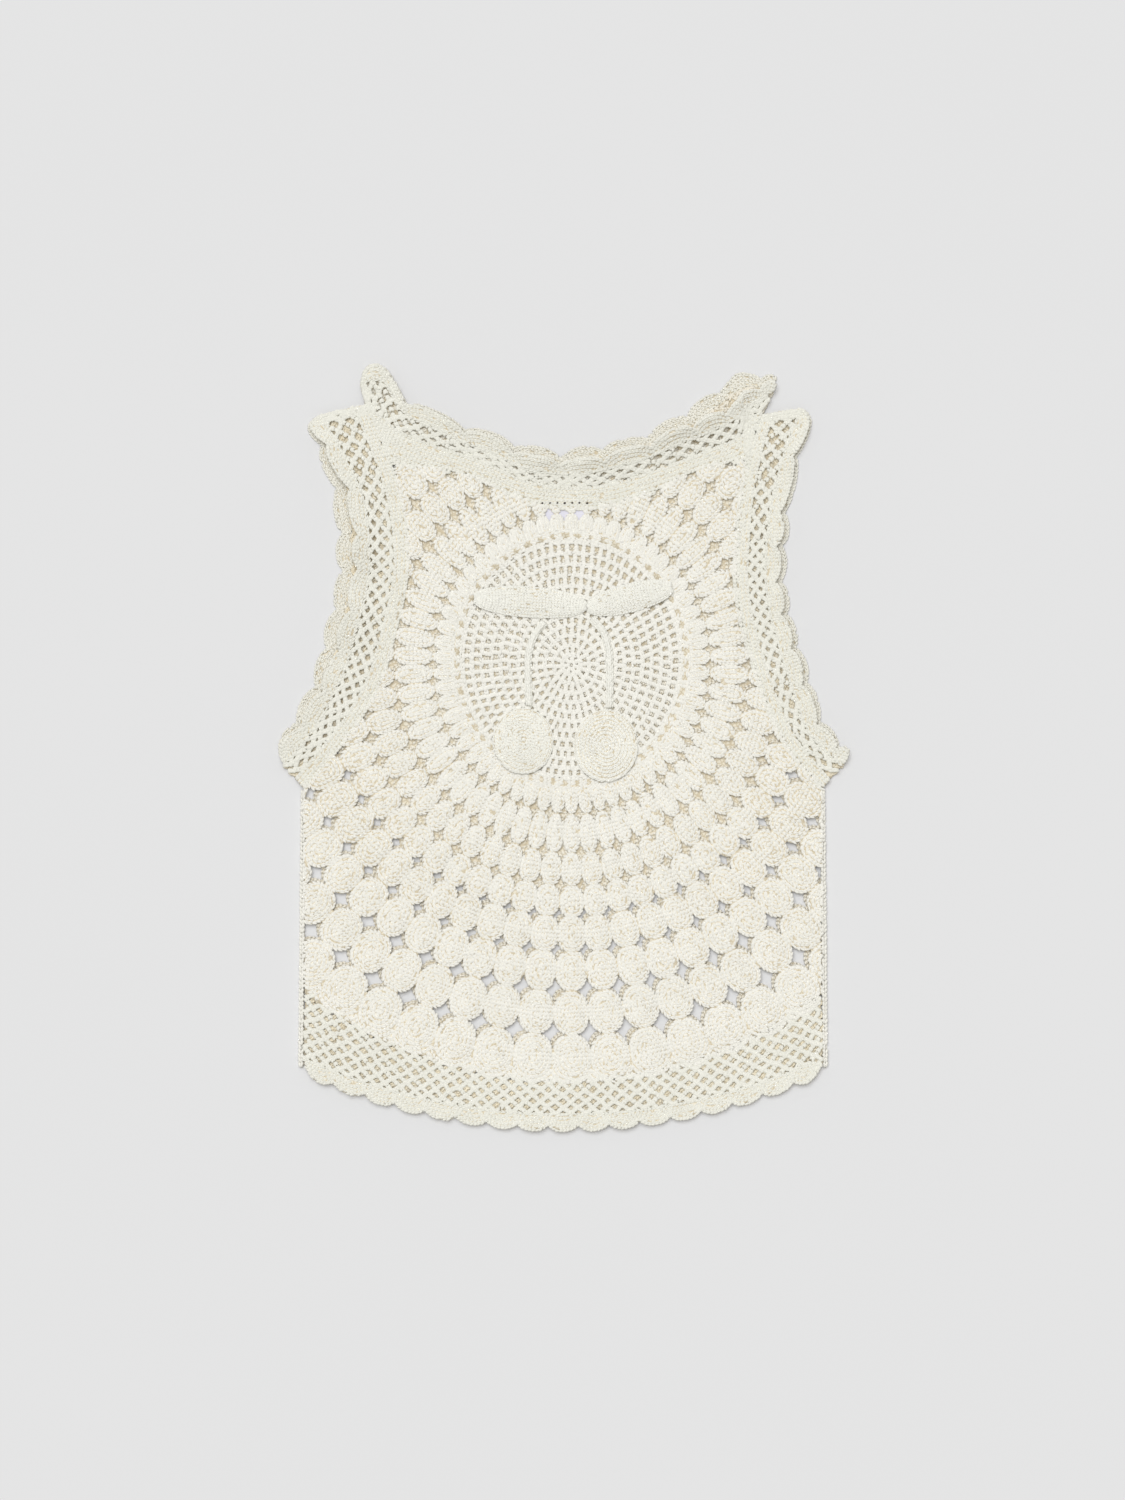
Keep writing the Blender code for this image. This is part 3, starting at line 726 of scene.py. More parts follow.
def motif_stitches(yarn, layer, centre):
    """The rows of stitches round every motif of the field, and the dense rounds inside them."""
    random = np.random.default_rng(11 if layer == "front" else 12)
    for number, ring in enumerate(RINGS):
        core = min(ring.half_width, ring.half_length)
        rows = max(1, round(core / ROW))
        spacing = core / rows
        sideways, outwards = random.normal(0, MOTIF_SHIFT, (2, COLUMNS, 1))
        puff = 1 + random.normal(0, PUFF_SPREAD, (COLUMNS, 1))
        top = dome_top(layer, ring)
        world = motif_map(centre, ring, outwards, sideways)
        for row in range(rows):
            depth = (row + 0.5) * spacing - EDGE_PUSH * (1 - row / rows)
            at, along, pitch = even_points(motif_row(number, depth, core), STITCH)
            beyond = ring.middle + at[:, 1] > ROUNDS_END + ROW / 4
            at, along = at[beyond], along[beyond]
            size = np.hypot(at[:, 0] / ring.half_width, at[:, 1] / ring.half_length)
            size = np.clip(size, 0.01, 1)
            rise = (top * puff * (1 - size**DOME_POWER)).ravel()
            slope = np.tile(DOME_POWER * top * size**(DOME_POWER - 1) / core, COLUMNS)
            out = unit(world(at * 1.02) - world(at * 0.98))
            yarn.braid(laid(layer, world(at), rise), ahead(world, at, along),
                       unit(with_height(out * slope[:, None], 1.0)), pitch, spacing)
        if ring is RINGS[-1]:
            end_rows(yarn, layer, motif_map(centre, ring, outwards))
    for radius in np.arange(OPEN_RADIUS + ROUNDS_GAP, ROUNDS_END, 0.8 * ROW):
        yarn.braid_path(laid(layer, ring_points(centre, radius)), UP)
    if layer == "front":
        yarn.keep(lambda at: ~in_small_hole(centre, at[:, :2]))
    yarn.keep(lambda at: inside(at[:, :2], STITCHED_OUTLINE) | (
        (at[:, 1] < UNDERARM_Y) & (np.abs(at[:, 0]) < BODY_HALF_WIDTH)))


def in_small_hole(centre, points):
    """Which of the points lie in the small holes between the first ring's motifs."""
    radius, column = field_place(centre, points)
    side = np.abs(column % 1 - 0.5) * 2 * np.pi * PIN_RADIUS / COLUMNS
    return (np.abs(radius - PIN_RADIUS) < PIN_LENGTH / 2) & (side < PIN_WIDTH / 2)


END_ROWS = 3  # arcs of stitches round each motif's free end in the last ring
CREST, VALLEY = 3.0, 1.6  # how far they reach past the ring, and how much less between motifs


def end_rows(yarn, layer, world):
    """The arcs of stitches that fill the valleys between the last ring's motifs."""
    ring = RINGS[-1]
    turn = np.linspace(math.radians(8), math.radians(172), 90)
    for row in range(END_ROWS):
        curve = motif_curve(ring, (row + 0.5) * ROW, turn, ROUND_END)
        at, along, pitch = even_points(curve, STITCH)
        side = np.abs(at[:, 0]) / ring.half_width
        keep = (side < 1.03) & (at[:, 1] < ring.half_length + CREST - VALLEY * side**2)
        at, along = at[keep], along[keep]
        yarn.braid(laid(layer, world(at)), ahead(world, at, along), UP, pitch, ROW)


# ---- the medallion
ROUNDS = 12
ROUND_PITCH = 1.05 * STITCH
ROUND_CORD, RIM_CORD = 3.7, 3.6  # the widths of the braid after a round, and after the last
POSTS_A_ROUND = 6.8  # how many more posts a round has than the one inside it
ROUND_TURN = 0.37  # how far each round's posts are turned on, as a share of their pitch
POST_WIDTH, POST_LENGTH, POST_LEAN = 3.3, 5.4, 0.8
POST_HEIGHT = 0.85 * STITCH_HEIGHT
POST_JITTER = 0.06  # how unevenly the posts' ends are placed, as a share of their pitch
POST_TURNS = (0.12, 0.5, 0.88)  # where a post's slanting strands lie along it
POST_START, POST_END = 0.9, 0.6  # how far its ends keep from the rounds
# The posts of the first round are shorter, and start away from the centre.
FIRST_START, FIRST_LENGTH, LATER_LENGTH = 2.4, 0.7, 0.92


def medallion(yarn, layer, centre):
    """Rounds of tall stitches with open gaps between them, a braid round each."""
    step = OPEN_RADIUS / ROUNDS
    back = layer == "back"
    sag = OPEN_WORK_SHIFT[layer] - BACK_CROWN * back
    for number in range(1, ROUNDS + 1):
        radius = step * number
        yarn.braid_path(laid(layer, ring_points(centre, radius), sag), UP, ROUND_PITCH,
                        RIM_CORD if number == ROUNDS else ROUND_CORD, NET_HEIGHT)
        count = round(POSTS_A_ROUND * number)
        pitch = COLUMNS / count
        column = (np.arange(count) + ROUND_TURN * number + 0.5 * back) * pitch
        start, length = (POST_START, LATER_LENGTH) if number > 1 else (FIRST_START, FIRST_LENGTH)
        a, b = (field_point(centre, end,
                            column + yarn.random.normal(0, POST_JITTER * pitch, count))
                for end in (radius - step + start, radius - POST_END))
        side = unit(columns_of(b[:, 1] - a[:, 1], a[:, 0] - b[:, 0]))
        way = with_height(unit(unit(b - a) + side * POST_LEAN))
        for share in POST_TURNS:
            yarn.lobes(laid(layer, a + (b - a) * share, sag), way, UP,
                       POST_LENGTH * length, POST_WIDTH, POST_HEIGHT)


# ---- the edgings
class Edge:
    """An edging's surface: s runs from 0 to 1 along it, out away from the panel's edge."""

    def __init__(self, edging, layer):
        self.edging, self.layer, self.lobes = edging, layer, edging.lobes
        table = smooth(edging.sections, 600)
        self.s = np.linspace(0, 1, len(table))
        self.table = {name: table[:, k] for k, name in enumerate(SECTION)}
        if edging.sections is NECK:
            swell = sum(much * np.exp(-((self.s - where) / wide)**2)
                        for much, where, wide in NECK_SWELLS)
            for name in ("front", "back"):
                self.table[name] = self.table[name] + swell

    def read(self, name, s):
        return np.interp(s, self.s, self.table[name])

    def reach(self, s):
        return self.read(self.layer, s)

    def band(self, s):
        return self.read("band", s)

    def net_start(self, s):
        return self.band(s) + 0.2

    def net_end(self, s):
        return self.reach(s) - self.edging.fan

    def height(self, s, out):
        if self.layer == "back":
            return np.zeros(len(s))
        band, reach = self.band(s), self.reach(s)
        net = band + (reach - band) * NET_SHARE
        wave = self.edging.ruffle * np.sqrt(np.sin(np.pi * np.clip(s, 0, 1)))
        wave = wave * (0.5 - 0.5 * np.cos(2 * np.pi * s * self.lobes / 2))
        rim = self.read("rise", s) + wave
        at_net = NET_RISE * self.read("rise", s) + NET_WAVE * wave
        return (BAND_RISE * np.clip(out / band, 0, 1)
                + (at_net - BAND_RISE) * np.clip((out - band) / (net - band), 0, 1)
                + (rim - at_net) * np.clip((out - net) / (reach - net), 0, 1))

    def place(self, s, out):
        turn = np.radians(self.read("turn", s))
        plan = columns_of(self.read("x", s) + np.cos(turn) * out,
                          self.read("y", s) + np.sin(turn) * out)
        return laid(self.layer, plan, self.height(s, out))

    def up(self, s, out):
        """The surface's normal, upwards."""
        ds, dout = 0.004, 1.5
        a = self.place(np.clip(s + ds, 0, 1), out) - self.place(np.clip(s - ds, 0, 1), out)
        b = self.place(s, out + dout) - self.place(s, out - dout)
        normal = unit(np.cross(a, b))
        return normal * np.where(normal[:, 2:] < 0, -1, 1)

    def row(self, yarn, s, out, **style):
        """A row of stitches on the surface."""
        yarn.braid_path(self.place(s, out), self.up(s, out), **style)

    def shows(self, start, end):
        """Which strands of the net are worked, from their ends' places."""
        return np.ones(len(start), bool)

    def lobe_ends(self):
        return list(zip(self.edging.marks[:-1], self.edging.marks[1:]))


class HemEdge(Edge):
    """The hem's surface: out is negative above the rim's mean line and 0 on it."""

    def __init__(self, layer):
        self.edging, self.layer, self.lobes = HEM, layer, HEM_LOBES

    def reach(self, s):
        return np.zeros_like(s)

    def net_start(self, s):
        x = (2 * s - 1) * BODY_HALF_WIDTH
        return arc_y(x, HEM_HALF_WIDTH, HEM_CORNER_Y, HEM_SAG) - yoke_y(x) + 1

    def height(self, s, out):
        if self.layer == "back":
            return np.zeros(len(s))
        wave = 0.5 - 0.5 * np.cos(2 * np.pi * s * HEM_LOBES / HEM_WAVE_LOBES)
        return (HEM_RISE + self.edging.ruffle * wave) * np.clip(1 + out / HEM_DEPTH, 0, 1)

    def place(self, s, out):
        x = (2 * s - 1) * (HEM_HALF_WIDTH + out * (HEM_HALF_WIDTH - BODY_HALF_WIDTH) / HEM_TAPER)
        plan = columns_of(x, arc_y(x, HEM_HALF_WIDTH, HEM_CORNER_Y, HEM_SAG) - out)
        return laid(self.layer, plan, self.height(s, out))

    def shows(self, start, end):
        return (start[:, 1] < yoke_y(start[:, 0]) + 1) & (end[:, 1] < yoke_y(end[:, 0]) + 7)


def yoke_y(x):
    return arc_y(x, BODY_HALF_WIDTH, YOKE_CORNER_Y - 1, YOKE_SAG)


BAND_ROWS, BAND_START = 12, -2.6  # the most rows, and how far under the panel they may start


def runs(mask):
    """Slices over the stretches where a mask is true."""
    padded = np.concatenate(([False], mask, [False])).astype(int)
    starts, ends = np.flatnonzero(np.diff(padded) == 1), np.flatnonzero(np.diff(padded) == -1)
    return [slice(a, b) for a, b in zip(starts, ends)]


def band_stitches(yarn, edge):
    """The dense rows beside the panel, parallel to the band's outer edge."""
    s = np.linspace(0, 1, 500)
    for row in range(BAND_ROWS):
        out = edge.band(s) - (row + 0.5) * ROW
        for here in runs(out > BAND_START):
            if here.stop - here.start > 3:
                edge.row(yarn, s[here], out[here])


NET_CORD, NET_JITTER = 4.0, 0.7  # the width of a net's strands, and how uneven its nodes are
START_ROWS = 3  # dense rows across an edging where it starts


def lattice(yarn, edge, rows, starts, count, node):
    """The strands of a net from each row of nodes to the next; node gives their places."""
    for row in range(rows):
        column = np.arange(starts) + 0.5 * (row % 2)
        for lean in (-0.5, 0.5):
            here = (column + lean >= 0) & (np.maximum(column, column + lean) <= count)
            a, b = node(row, column[here]), node(row + 1, column[here] + lean)
            start, end = edge.place(*a), edge.place(*b)
            shown = edge.shows(start, end)
            if shown.any():
                start[:, 2] += OPEN_WORK_SHIFT[edge.layer]
                end[:, 2] += OPEN_WORK_SHIFT[edge.layer]
                up = edge.up((a[0] + b[0])[shown] / 2, (a[1] + b[1])[shown] / 2)
                yarn.cord(start[shown], end[shown], up, NET_CORD, NET_HEIGHT)


def net_stitches(yarn, edge):
    """The net between the band and the scallops, and dense rows at its start."""
    rows = edge.edging.net_rows
    length = path_length(edge.place(np.linspace(0, 1, 400),
                                    (edge.band(0.5) + edge.net_end(0.5)) / 2))
    for row in range(START_ROWS):
        s = np.full(80, (row + 0.5) * ROW / length)
        edge.row(yarn, s, np.linspace(0, 1, 80) * (edge.net_end(s) + 1) + 1)
    count = round(length / edge.edging.mesh)
    jitter = yarn.random.normal(0, NET_JITTER, (rows + 2, 2 * count + 3, 2))
    offset = 0.5 if edge.layer == "back" else 0.0

    def node(row, column):
        out_jitter, s_jitter = jitter[row, (2 * column).astype(int)].T
        s = np.clip((column + offset / 2) / count, 0, 1)
        share = min((row - offset) / rows, 1)
        out = edge.band(s) + (edge.net_end(s) - edge.band(s)) * share + out_jitter
        return np.clip(s + s_jitter / length, 0, 1), out
    lattice(yarn, edge, rows + (edge.layer == "back"), count, count, node)


def hem_net(yarn, edge):
    """The hem's net: its rows lie parallel to the rim, and the motif field cuts them off."""
    rows = edge.edging.net_rows
    count = round(2 * HEM_HALF_WIDTH / edge.edging.mesh)
    jitter = yarn.random.normal(0, NET_JITTER, (rows + 1, 2 * count + 3, 2))
    offset = 0.5 if edge.layer == "back" else 0.0

    def node(row, column):
        s_jitter, out_jitter = jitter[row, (2 * column).astype(int)].T
        s = (column + offset / 2) / count + s_jitter / (2 * HEM_HALF_WIDTH)
        out = edge.edging.fan + (row - offset) * HEM_MESH_STEP + out_jitter
        return np.clip(s, 0, 1), -out
    lattice(yarn, edge, rows, count + 1, count, node)


TIP_NOTCH = 13.0  # how far the rim falls back at an edging's own ends
TIP_CURVE, LOBE_CURVE, RIM_CURVE = 1.6, 2.2, 0.75  # exponents of the scallops' outline
FAN_ROW, FAN_PITCH, RIM_LIFT = 3.1, 3.0, 0.35
FAN_INSET, NET_CLEARANCE = 1.4, 1.5  # how far their rows keep from the rim and from the net


def rim_out(edge, s, first, last):
    """The scallop's outline between two notches."""
    a = 2 * (s - first) / (last - first) - 1
    tip = ((first == 0) & (a < 0)) | ((last == 1) & (a > 0))
    shape = (1 - np.clip(np.abs(a), 0, 1)**np.where(tip, TIP_CURVE, LOBE_CURVE))**RIM_CURVE
    deep = np.where(tip, TIP_NOTCH, edge.edging.notch)
    return edge.reach(s) - deep + (edge.edging.crest + deep) * shape


def fan_stitches(yarn, edge):
    """The scallops: rows along the rim down to the net, and a fine braid between them."""
    s = np.linspace(0, 1, 500)
    yarn.braid_path(edge.place(s, edge.net_end(s) + 0.3), edge.up(s, edge.net_end(s)), width=2.6)
    for first, last in edge.lobe_ends():
        s = np.linspace(first, last, 60)
        rim = rim_out(edge, s, first, last)
        for row in range(round(edge.edging.fan / FAN_ROW) + 1):
            out = rim - FAN_INSET - row * FAN_ROW
            here = out > edge.net_end(s) + NET_CLEARANCE
            if here.sum() > 8:
                path = edge.place(s[here], out[here])
                path[:, 2] += RIM_LIFT * (row == 0)
                yarn.braid_path(path, edge.up(s[here], out[here]), FAN_PITCH, FAN_ROW)


def strips_shell(name, edge, material, slot):
    """The shell inside an edging's band and scallops, and inside the back's net."""
    points, triangles = [], []

    def strip(s, low, high, across, shift=0.0):
        out = low + (high - low) * np.linspace(0, 1, across)[:, None]
        grid = edge.place(np.tile(s, across), out.ravel())
        grid[:, 2] += SHELL_MIDDLE - MIDDLE + shift
        triangles.append(grid_triangles(across, len(s), sum(map(len, points))))
        points.append(grid)
    s = np.linspace(0, 1, 160)
    if edge.edging.sections:
        strip(s, 0.4, np.maximum(edge.band(s) - 0.6, 0.8), 4)
    if edge.layer == "back":
        strip(s, edge.net_start(s), edge.net_end(s) - 0.2, 7, OPEN_WORK_SHIFT["back"])
    for first, last in edge.lobe_ends():
        s = np.linspace(first, last, 18)
        strip(s, edge.net_end(s) + 0.6, rim_out(edge, s, first, last) - 1.2, 5)
    return cloth_shell(name, np.concatenate(points), np.concatenate(triangles), material, slot)


# ---- what is sewn on
SEWN_SINK = 0.3  # how far an applique sinks into the front's stitches
SEWN_SHELL_DROP = 0.75  # how far its shell lies below its own
SEWN_CROWN, SEWN_HEIGHT = 1.3, 1.8  # how much its middle rises, and its stitches' height
EDGE_DROP = 0.6  # how much lower its outermost row lies
FINE_ROW = 2.6  # the leaves' and cherries' stitches are finer
LEAF_TILT, CHERRY_TILT, STEM_TILT = 0.22, 0.12, 0.5
LEAF_SWELL = 0.85  # the exponent of a leaf's outline
LEAF_FILL, LEAF_SHELL_FILL = 0.97, 0.93  # the shares of its width that rows and shell take
CHERRY_SIDES, CHERRY_RINGS = 48, 8
SPIRAL_START, SPIRAL_INSET = 0.8, 1.1  # from a cherry's middle, and from its outline


def on_front(plan, rise):
    """The places of stitches that lie on the front, clear of its motifs."""
    beyond = np.hypot(plan[:, 0] - FRONT_CENTRE[0], plan[:, 1] - FRONT_CENTRE[1]) - RAMP_STARTS
    climb = np.clip(beyond / (SQUEEZE * MEDALLION_RADIUS - RAMP_STARTS), 0, 1)
    level = under("front", plan) + WALL + LAYER_GAP + DOME * climb - SEWN_SINK
    return with_height(plan, level + rise)


def sew(yarn, path, up):
    """Braids a path in the finer stitches of an applique."""
    yarn.braid_path(path, up, FINE_ROW, FINE_ROW, SEWN_HEIGHT, SEWN)


def leaf_piece(name, spec, looks):
    """A pointed leaf worked in rows along its length, closing at both ends."""
    heading = math.radians(spec.turn)
    way = np.array((math.cos(heading), math.sin(heading)))
    side = np.array((-way[1], way[0]))
    turn = np.linspace(0.12, math.pi - 0.1, 120)
    middle = (spec.base_x, spec.base_y) + way * spec.length * (1 - np.cos(turn[:, None])) / 2
    half = spec.width / 2 * np.sin(turn)**LEAF_SWELL
    keep = half > 2.0
    rows = round(spec.width / FINE_ROW)
    yarn = Yarn(CAP_LOBE, 31, FEW_PINHOLES)
    for row in range(rows):
        share = (row + 0.5) / rows * 2 - 1
        path = on_front(middle + side * (LEAF_FILL * share * half)[:, None],
                        SEWN_CROWN * (1 - share**2) * np.sin(turn) - EDGE_DROP * share**8)
        sew(yarn, path[keep], unit(np.append(side * share * LEAF_TILT, 1.0)))
    share = np.linspace(-1, 1, 9)
    plan = middle[:, None] + side * (LEAF_SHELL_FILL * share * half[:, None])[:, :, None]
    grid = on_front(plan.reshape(-1, 2),
                    (SEWN_CROWN * np.sin(turn)[:, None] * (1 - share**2)).ravel())
    sewn_piece(name, grid, grid_triangles(len(turn), 9), yarn, looks, spec.width, spec.length)


def cherry_piece(name, spec, looks):
    """A cherry worked in a spiral of fine stitches, which ends in a whole round."""
    rows = round(min(spec.half_width, spec.half_height) / FINE_ROW)
    turn = np.linspace(0, 2 * np.pi * rows, rows * 90)
    grow = np.minimum(turn / (2 * np.pi * (rows - 1)), 1)
    wide, high = (SPIRAL_START + (half - SPIRAL_START - SPIRAL_INSET) * grow
                  for half in (spec.half_width, spec.half_height))
    plan = columns_of(spec.x + wide * np.cos(turn), spec.y + high * np.sin(turn))
    tilt = CHERRY_TILT * grow
    yarn = Yarn(CAP_LOBE, 32, FEW_PINHOLES)
    sew(yarn, on_front(plan, SEWN_CROWN * (1 - grow**2) - EDGE_DROP * grow**10),
        unit(columns_of(tilt * np.cos(turn), tilt * np.sin(turn), 1.0)))
    corner = np.arange(CHERRY_SIDES)
    around = corner * 2 * np.pi / CHERRY_SIDES
    share = np.linspace(0.06, 0.97, CHERRY_RINGS)[:, None]
    plan = columns_of(spec.x + share * spec.half_width * np.cos(around),
                      spec.y + share * spec.half_height * np.sin(around)).reshape(-1, 2)
    grid = on_front(plan, np.repeat(SEWN_CROWN * (1 - share**2), CHERRY_SIDES))
    hub = columns_of(corner, len(grid), (corner + 1) % CHERRY_SIDES)
    grid = np.concatenate((grid, [grid[:CHERRY_SIDES].mean(axis=0)]))
    rings = grid_triangles(CHERRY_RINGS, CHERRY_SIDES, closed=True)
    sewn_piece(name, grid, np.concatenate([rings, hub]), yarn, looks,
               2 * spec.half_width, 2 * spec.half_height)


def sewn_piece(name, grid, triangles, yarn, looks, width, length):
    """An applique's shell and its stitches."""
    grid = grid - UP * SEWN_SHELL_DROP
    # The applique's shell takes the pit look, which is painted shade.
    shell, area = cloth_shell(name + "_cloth", grid, triangles, looks["pit"], "applique_yarn")
    made = yarn.piece(name + "_stitches", looks["applique"], "applique_yarn")
    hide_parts(name)


def stem_piece(name, spec, looks):
    """A stem: three braids side by side that make a round cord."""
    yarn = Yarn(FULL_LOBE, 33)
    line = smooth(spec.points, 80)
    way = unit(np.gradient(line, axis=0))
    side = columns_of(-way[:, 1], way[:, 0])
    for out, rise in ((-1, 0.2), (1, 0.2), (0, 0.8)):
        yarn.braid_path(on_front(line + side * out * spec.width * 0.26, rise),
                        unit(with_height(side * out * STEM_TILT, 1.0)), STITCH,
                        spec.width * 0.76, style=SMOOTH)
    for piece in yarn.piece(name + "_stitches", looks["applique"], "applique_yarn"):
        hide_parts(name)


# ---- materials
def shader_of(name, **values):
    """A new material, and its shader with these values in its sockets."""
    material = bpy.data.materials.new(name)
    material.use_nodes = True
    shader = material.node_tree.nodes["Principled BSDF"]
    for socket, value in values.items():
        shader.inputs[socket.replace("_", " ")].default_value = value
    return material, shader


def texture(material, kind, **values):
    """A texture over the object's own coordinates, with these values in its sockets."""
    tree = material.node_tree
    place, made = tree.nodes.new("ShaderNodeTexCoord"), tree.nodes.new("ShaderNodeTex" + kind)
    tree.links.new(place.outputs["Object"], made.inputs["Vector"])
    for socket, value in values.items():
        made.inputs[socket].default_value = value
    return made


def colour(material, shader, share, low, high, ends=(0.0, 1.0)):
    """Colours a material from low to high as a share runs between two ends."""
    tree = material.node_tree
    ramp = tree.nodes.new("ShaderNodeValToRGB")
    for stop, place, shade in zip(ramp.color_ramp.elements, ends, (low, high)):
        stop.position, stop.color = place, (*shade, 1)
    tree.links.new(share, ramp.inputs["Fac"])
    tree.links.new(ramp.outputs["Color"], shader.inputs["Base Color"])


def bump(material, shader, height, strength, distance):
    tree = material.node_tree
    made = tree.nodes.new("ShaderNodeBump")
    made.inputs["Strength"].default_value = strength
    made.inputs["Distance"].default_value = distance
    tree.links.new(height, made.inputs["Height"])
    tree.links.new(made.outputs["Normal"], shader.inputs["Normal"])


TONE_SHARE = 0.45  # how much a stitch's own tone counts beside the cloth's


def yarn_material(name, light, deep, fuzz=0.25):
    """Matte cotton yarn: its tone changes from stitch to stitch and along the cloth."""
    material, shader = shader_of(name, Roughness=0.92, Specular_IOR_Level=0.18,
                                 Sheen_Weight=fuzz, Sheen_Roughness=0.6)
    tree = material.node_tree
    tone, mix = tree.nodes.new("ShaderNodeAttribute"), tree.nodes.new("ShaderNodeMath")
    tone.attribute_name = "tone"
    mix.operation = "MULTIPLY_ADD"
    mix.inputs[1].default_value = TONE_SHARE
    tree.links.new(tone.outputs["Fac"], mix.inputs[0])
    wide = texture(material, "Noise", Scale=38.0, Detail=3.0)
    tree.links.new(wide.outputs["Fac"], mix.inputs[2])
    colour(material, shader, mix.outputs[0], deep, light, (0.35, 0.95))
    plies = texture(material, "Noise", Scale=1500.0, Detail=4.0)
    bump(material, shader, plies.outputs["Fac"], 0.5, 0.0004)
    return material


def painted_shade_material():
    """The cloth between the stitches in painted shade: tan cells with darker painted crevice shade
    between them.
    """
    material, shader = shader_of("cotton_painted_shade", Roughness=0.95, Specular_IOR_Level=0.1)
    cells = texture(material, "Voronoi", Scale=330.0)
    cells.feature = "DISTANCE_TO_EDGE"
    # Both tans are painted shade: the cream yarn as it looks deep between the stitches, darker at
    # the cells' edges.
    colour(material, shader, cells.outputs["Distance"], (0.62, 0.53, 0.37), (0.82, 0.76, 0.62),
           (0.0, 0.22))
    return material


def satin_material():
    """The label's soft woven satin: fine ribs across it."""
    material, shader = shader_of("label_satin", Roughness=0.5)
    weave = texture(material, "Wave", Scale=600.0, Distortion=0.6).outputs["Fac"]
    colour(material, shader, weave, (0.70, 0.68, 0.78), (0.82, 0.81, 0.88))
    bump(material, shader, weave, 0.3, 0.0002)
    return material


def floor_material():
    material, shader = shader_of("floor_paper", Roughness=1.0, Specular_IOR_Level=0.0)
    grain = texture(material, "Noise", Scale=3.0)
    colour(material, shader, grain.outputs["Fac"], (0.775,) * 3, (0.785,) * 3)
    return material


# ---- camera, light and floor
FRAME_HEIGHT, FRAME_LEVEL = 1.245, 0.005  # how much the camera sees at the cloth, in metres
FRAME_MIDDLE = (-0.415, -70.55)  # in the top's plane, in millimetres
CAMERA_HEIGHT, SENSOR_HEIGHT = 4.0, 24.0  # in metres and in millimetres
WORLD_LIGHT, WORLD_COLOUR = 0.42, (1.0, 0.97, 0.90, 1)  # warm light fills the shadows
KEY_LIGHT, KEY_SPREAD, KEY_COLOUR = 2.06, math.radians(40), (0.931, 0.951, 1.0)
KEY_PLACE = (-0.25, 0.6, 2.0)
FLOOR_HALF, FLOOR_DROP = 6.0, 0.0002


def camera_and_light():
    scene = bpy.context.scene
    scene.view_settings.view_transform = "Standard"
    camera = bpy.data.objects.new("camera", bpy.data.cameras.new("camera"))
    camera.data.sensor_fit = "VERTICAL"
    camera.data.sensor_height = SENSOR_HEIGHT
    camera.data.lens = SENSOR_HEIGHT * (CAMERA_HEIGHT - FRAME_LEVEL) / FRAME_HEIGHT
    camera.location = (*(FRAME_MIDDLE + SHIFT[:2]) * MM, CAMERA_HEIGHT)
    scene.camera = camera
    light = bpy.data.objects.new("soft_key", bpy.data.lights.new("soft_key", "SUN"))
    light.data.energy, light.data.angle, light.data.color = KEY_LIGHT, KEY_SPREAD, KEY_COLOUR
    light.location = KEY_PLACE
    light.rotation_euler = (-Vector(KEY_PLACE)).to_track_quat("-Z", "Y").to_euler()
    for made in (camera, light):
        scene.collection.objects.link(made)
    scene.world = bpy.data.worlds.new("studio")
    scene.world.use_nodes = True
    sky = scene.world.node_tree.nodes["Background"]
    sky.inputs["Color"].default_value = WORLD_COLOUR
    sky.inputs["Strength"].default_value = WORLD_LIGHT


def floor():
    mesh = bpy.data.meshes.new("floor")
    mesh.from_pydata([(x * FLOOR_HALF, y * FLOOR_HALF, 0)
                      for x, y in ((-1, -1), (1, -1), (1, 1), (-1, 1))], [], [(0, 1, 2, 3)])
    mesh.materials.append(floor_material())
    made = bpy.data.objects.new("floor", mesh)
    bpy.context.scene.collection.objects.link(made)
    made.location.z = -FLOOR_DROP


# ---- the pieces
def panel(layer, centre, form, looks):
    """One layer of the motif field: its shell, its dense stitches and its open medallion."""
    name = layer + "_panel"
    # The panel's shell takes the pit look, which is painted shade.
    shell, area = panel_shell(name + "_cloth", layer, centre, looks["pit"])
    yarn = Yarn(form, 21 if layer == "front" else 22)
    motif_stitches(yarn, layer, centre)
    pieces = yarn.piece(name + "_stitches", looks[layer], "motif_yarn")
    net = Yarn(form, 23)
    medallion(net, layer, centre)
    pieces += net.piece(name + "_medallion", looks[layer], "motif_yarn")
    length = float(np.ptp(OUTLINE[:, 1])) * MM
    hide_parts(name)


# The yarn of an edging's scallops and of its net: the back's is seen only through the front's
# holes, and its colours are painted shade, warmer and more tan than the front's. The neck's back
# net, which shows at the right tip, takes the back panel's milder painted shade.
EDGING_LOOKS = {
    "armhole_edging_left_back": ("far", "net"),
    "armhole_edging_right_back": ("far", "net"),
    "neck_edging_back": ("far", "back"),
    "hem_edging_back": ("back", "net"),
}


def edging(name, edge, form, looks):
    """One layer of an edging: its shell, its dense stitches and its net."""
    full = f"{name}_{edge.layer}"
    look, net_look = EDGING_LOOKS.get(full, ("edging", "edging"))
    # The edging's shell takes the pit look, which is painted shade.
    shell, area = strips_shell(full + "_cloth", edge, looks["pit"], "edging_yarn")
    yarn, mesh = Yarn(form, sum(map(ord, full))), Yarn(form, len(full))
    if edge.edging.sections:
        band_stitches(yarn, edge)
        net_stitches(mesh, edge)
    else:
        hem_net(mesh, edge)
    fan_stitches(yarn, edge)
    pieces = yarn.piece(full + "_stitches", looks[look], "edging_yarn")
    pieces += mesh.piece(full + "_net", looks[net_look], "edging_yarn")
    s = np.linspace(0, 1, 200)
    middle = edge.place(s, edge.reach(s) / 2)
    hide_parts(full)


SEAM_LEVELS = (1.2, 3.4)  # the heights of the joining row's two braids
SEAM_PITCH, SEAM_WIDTH, SEAM_HEIGHT, SEAM_TILT, SEAM_OUT = 3.6, 4.4, 2.6, 0.4, 1.7


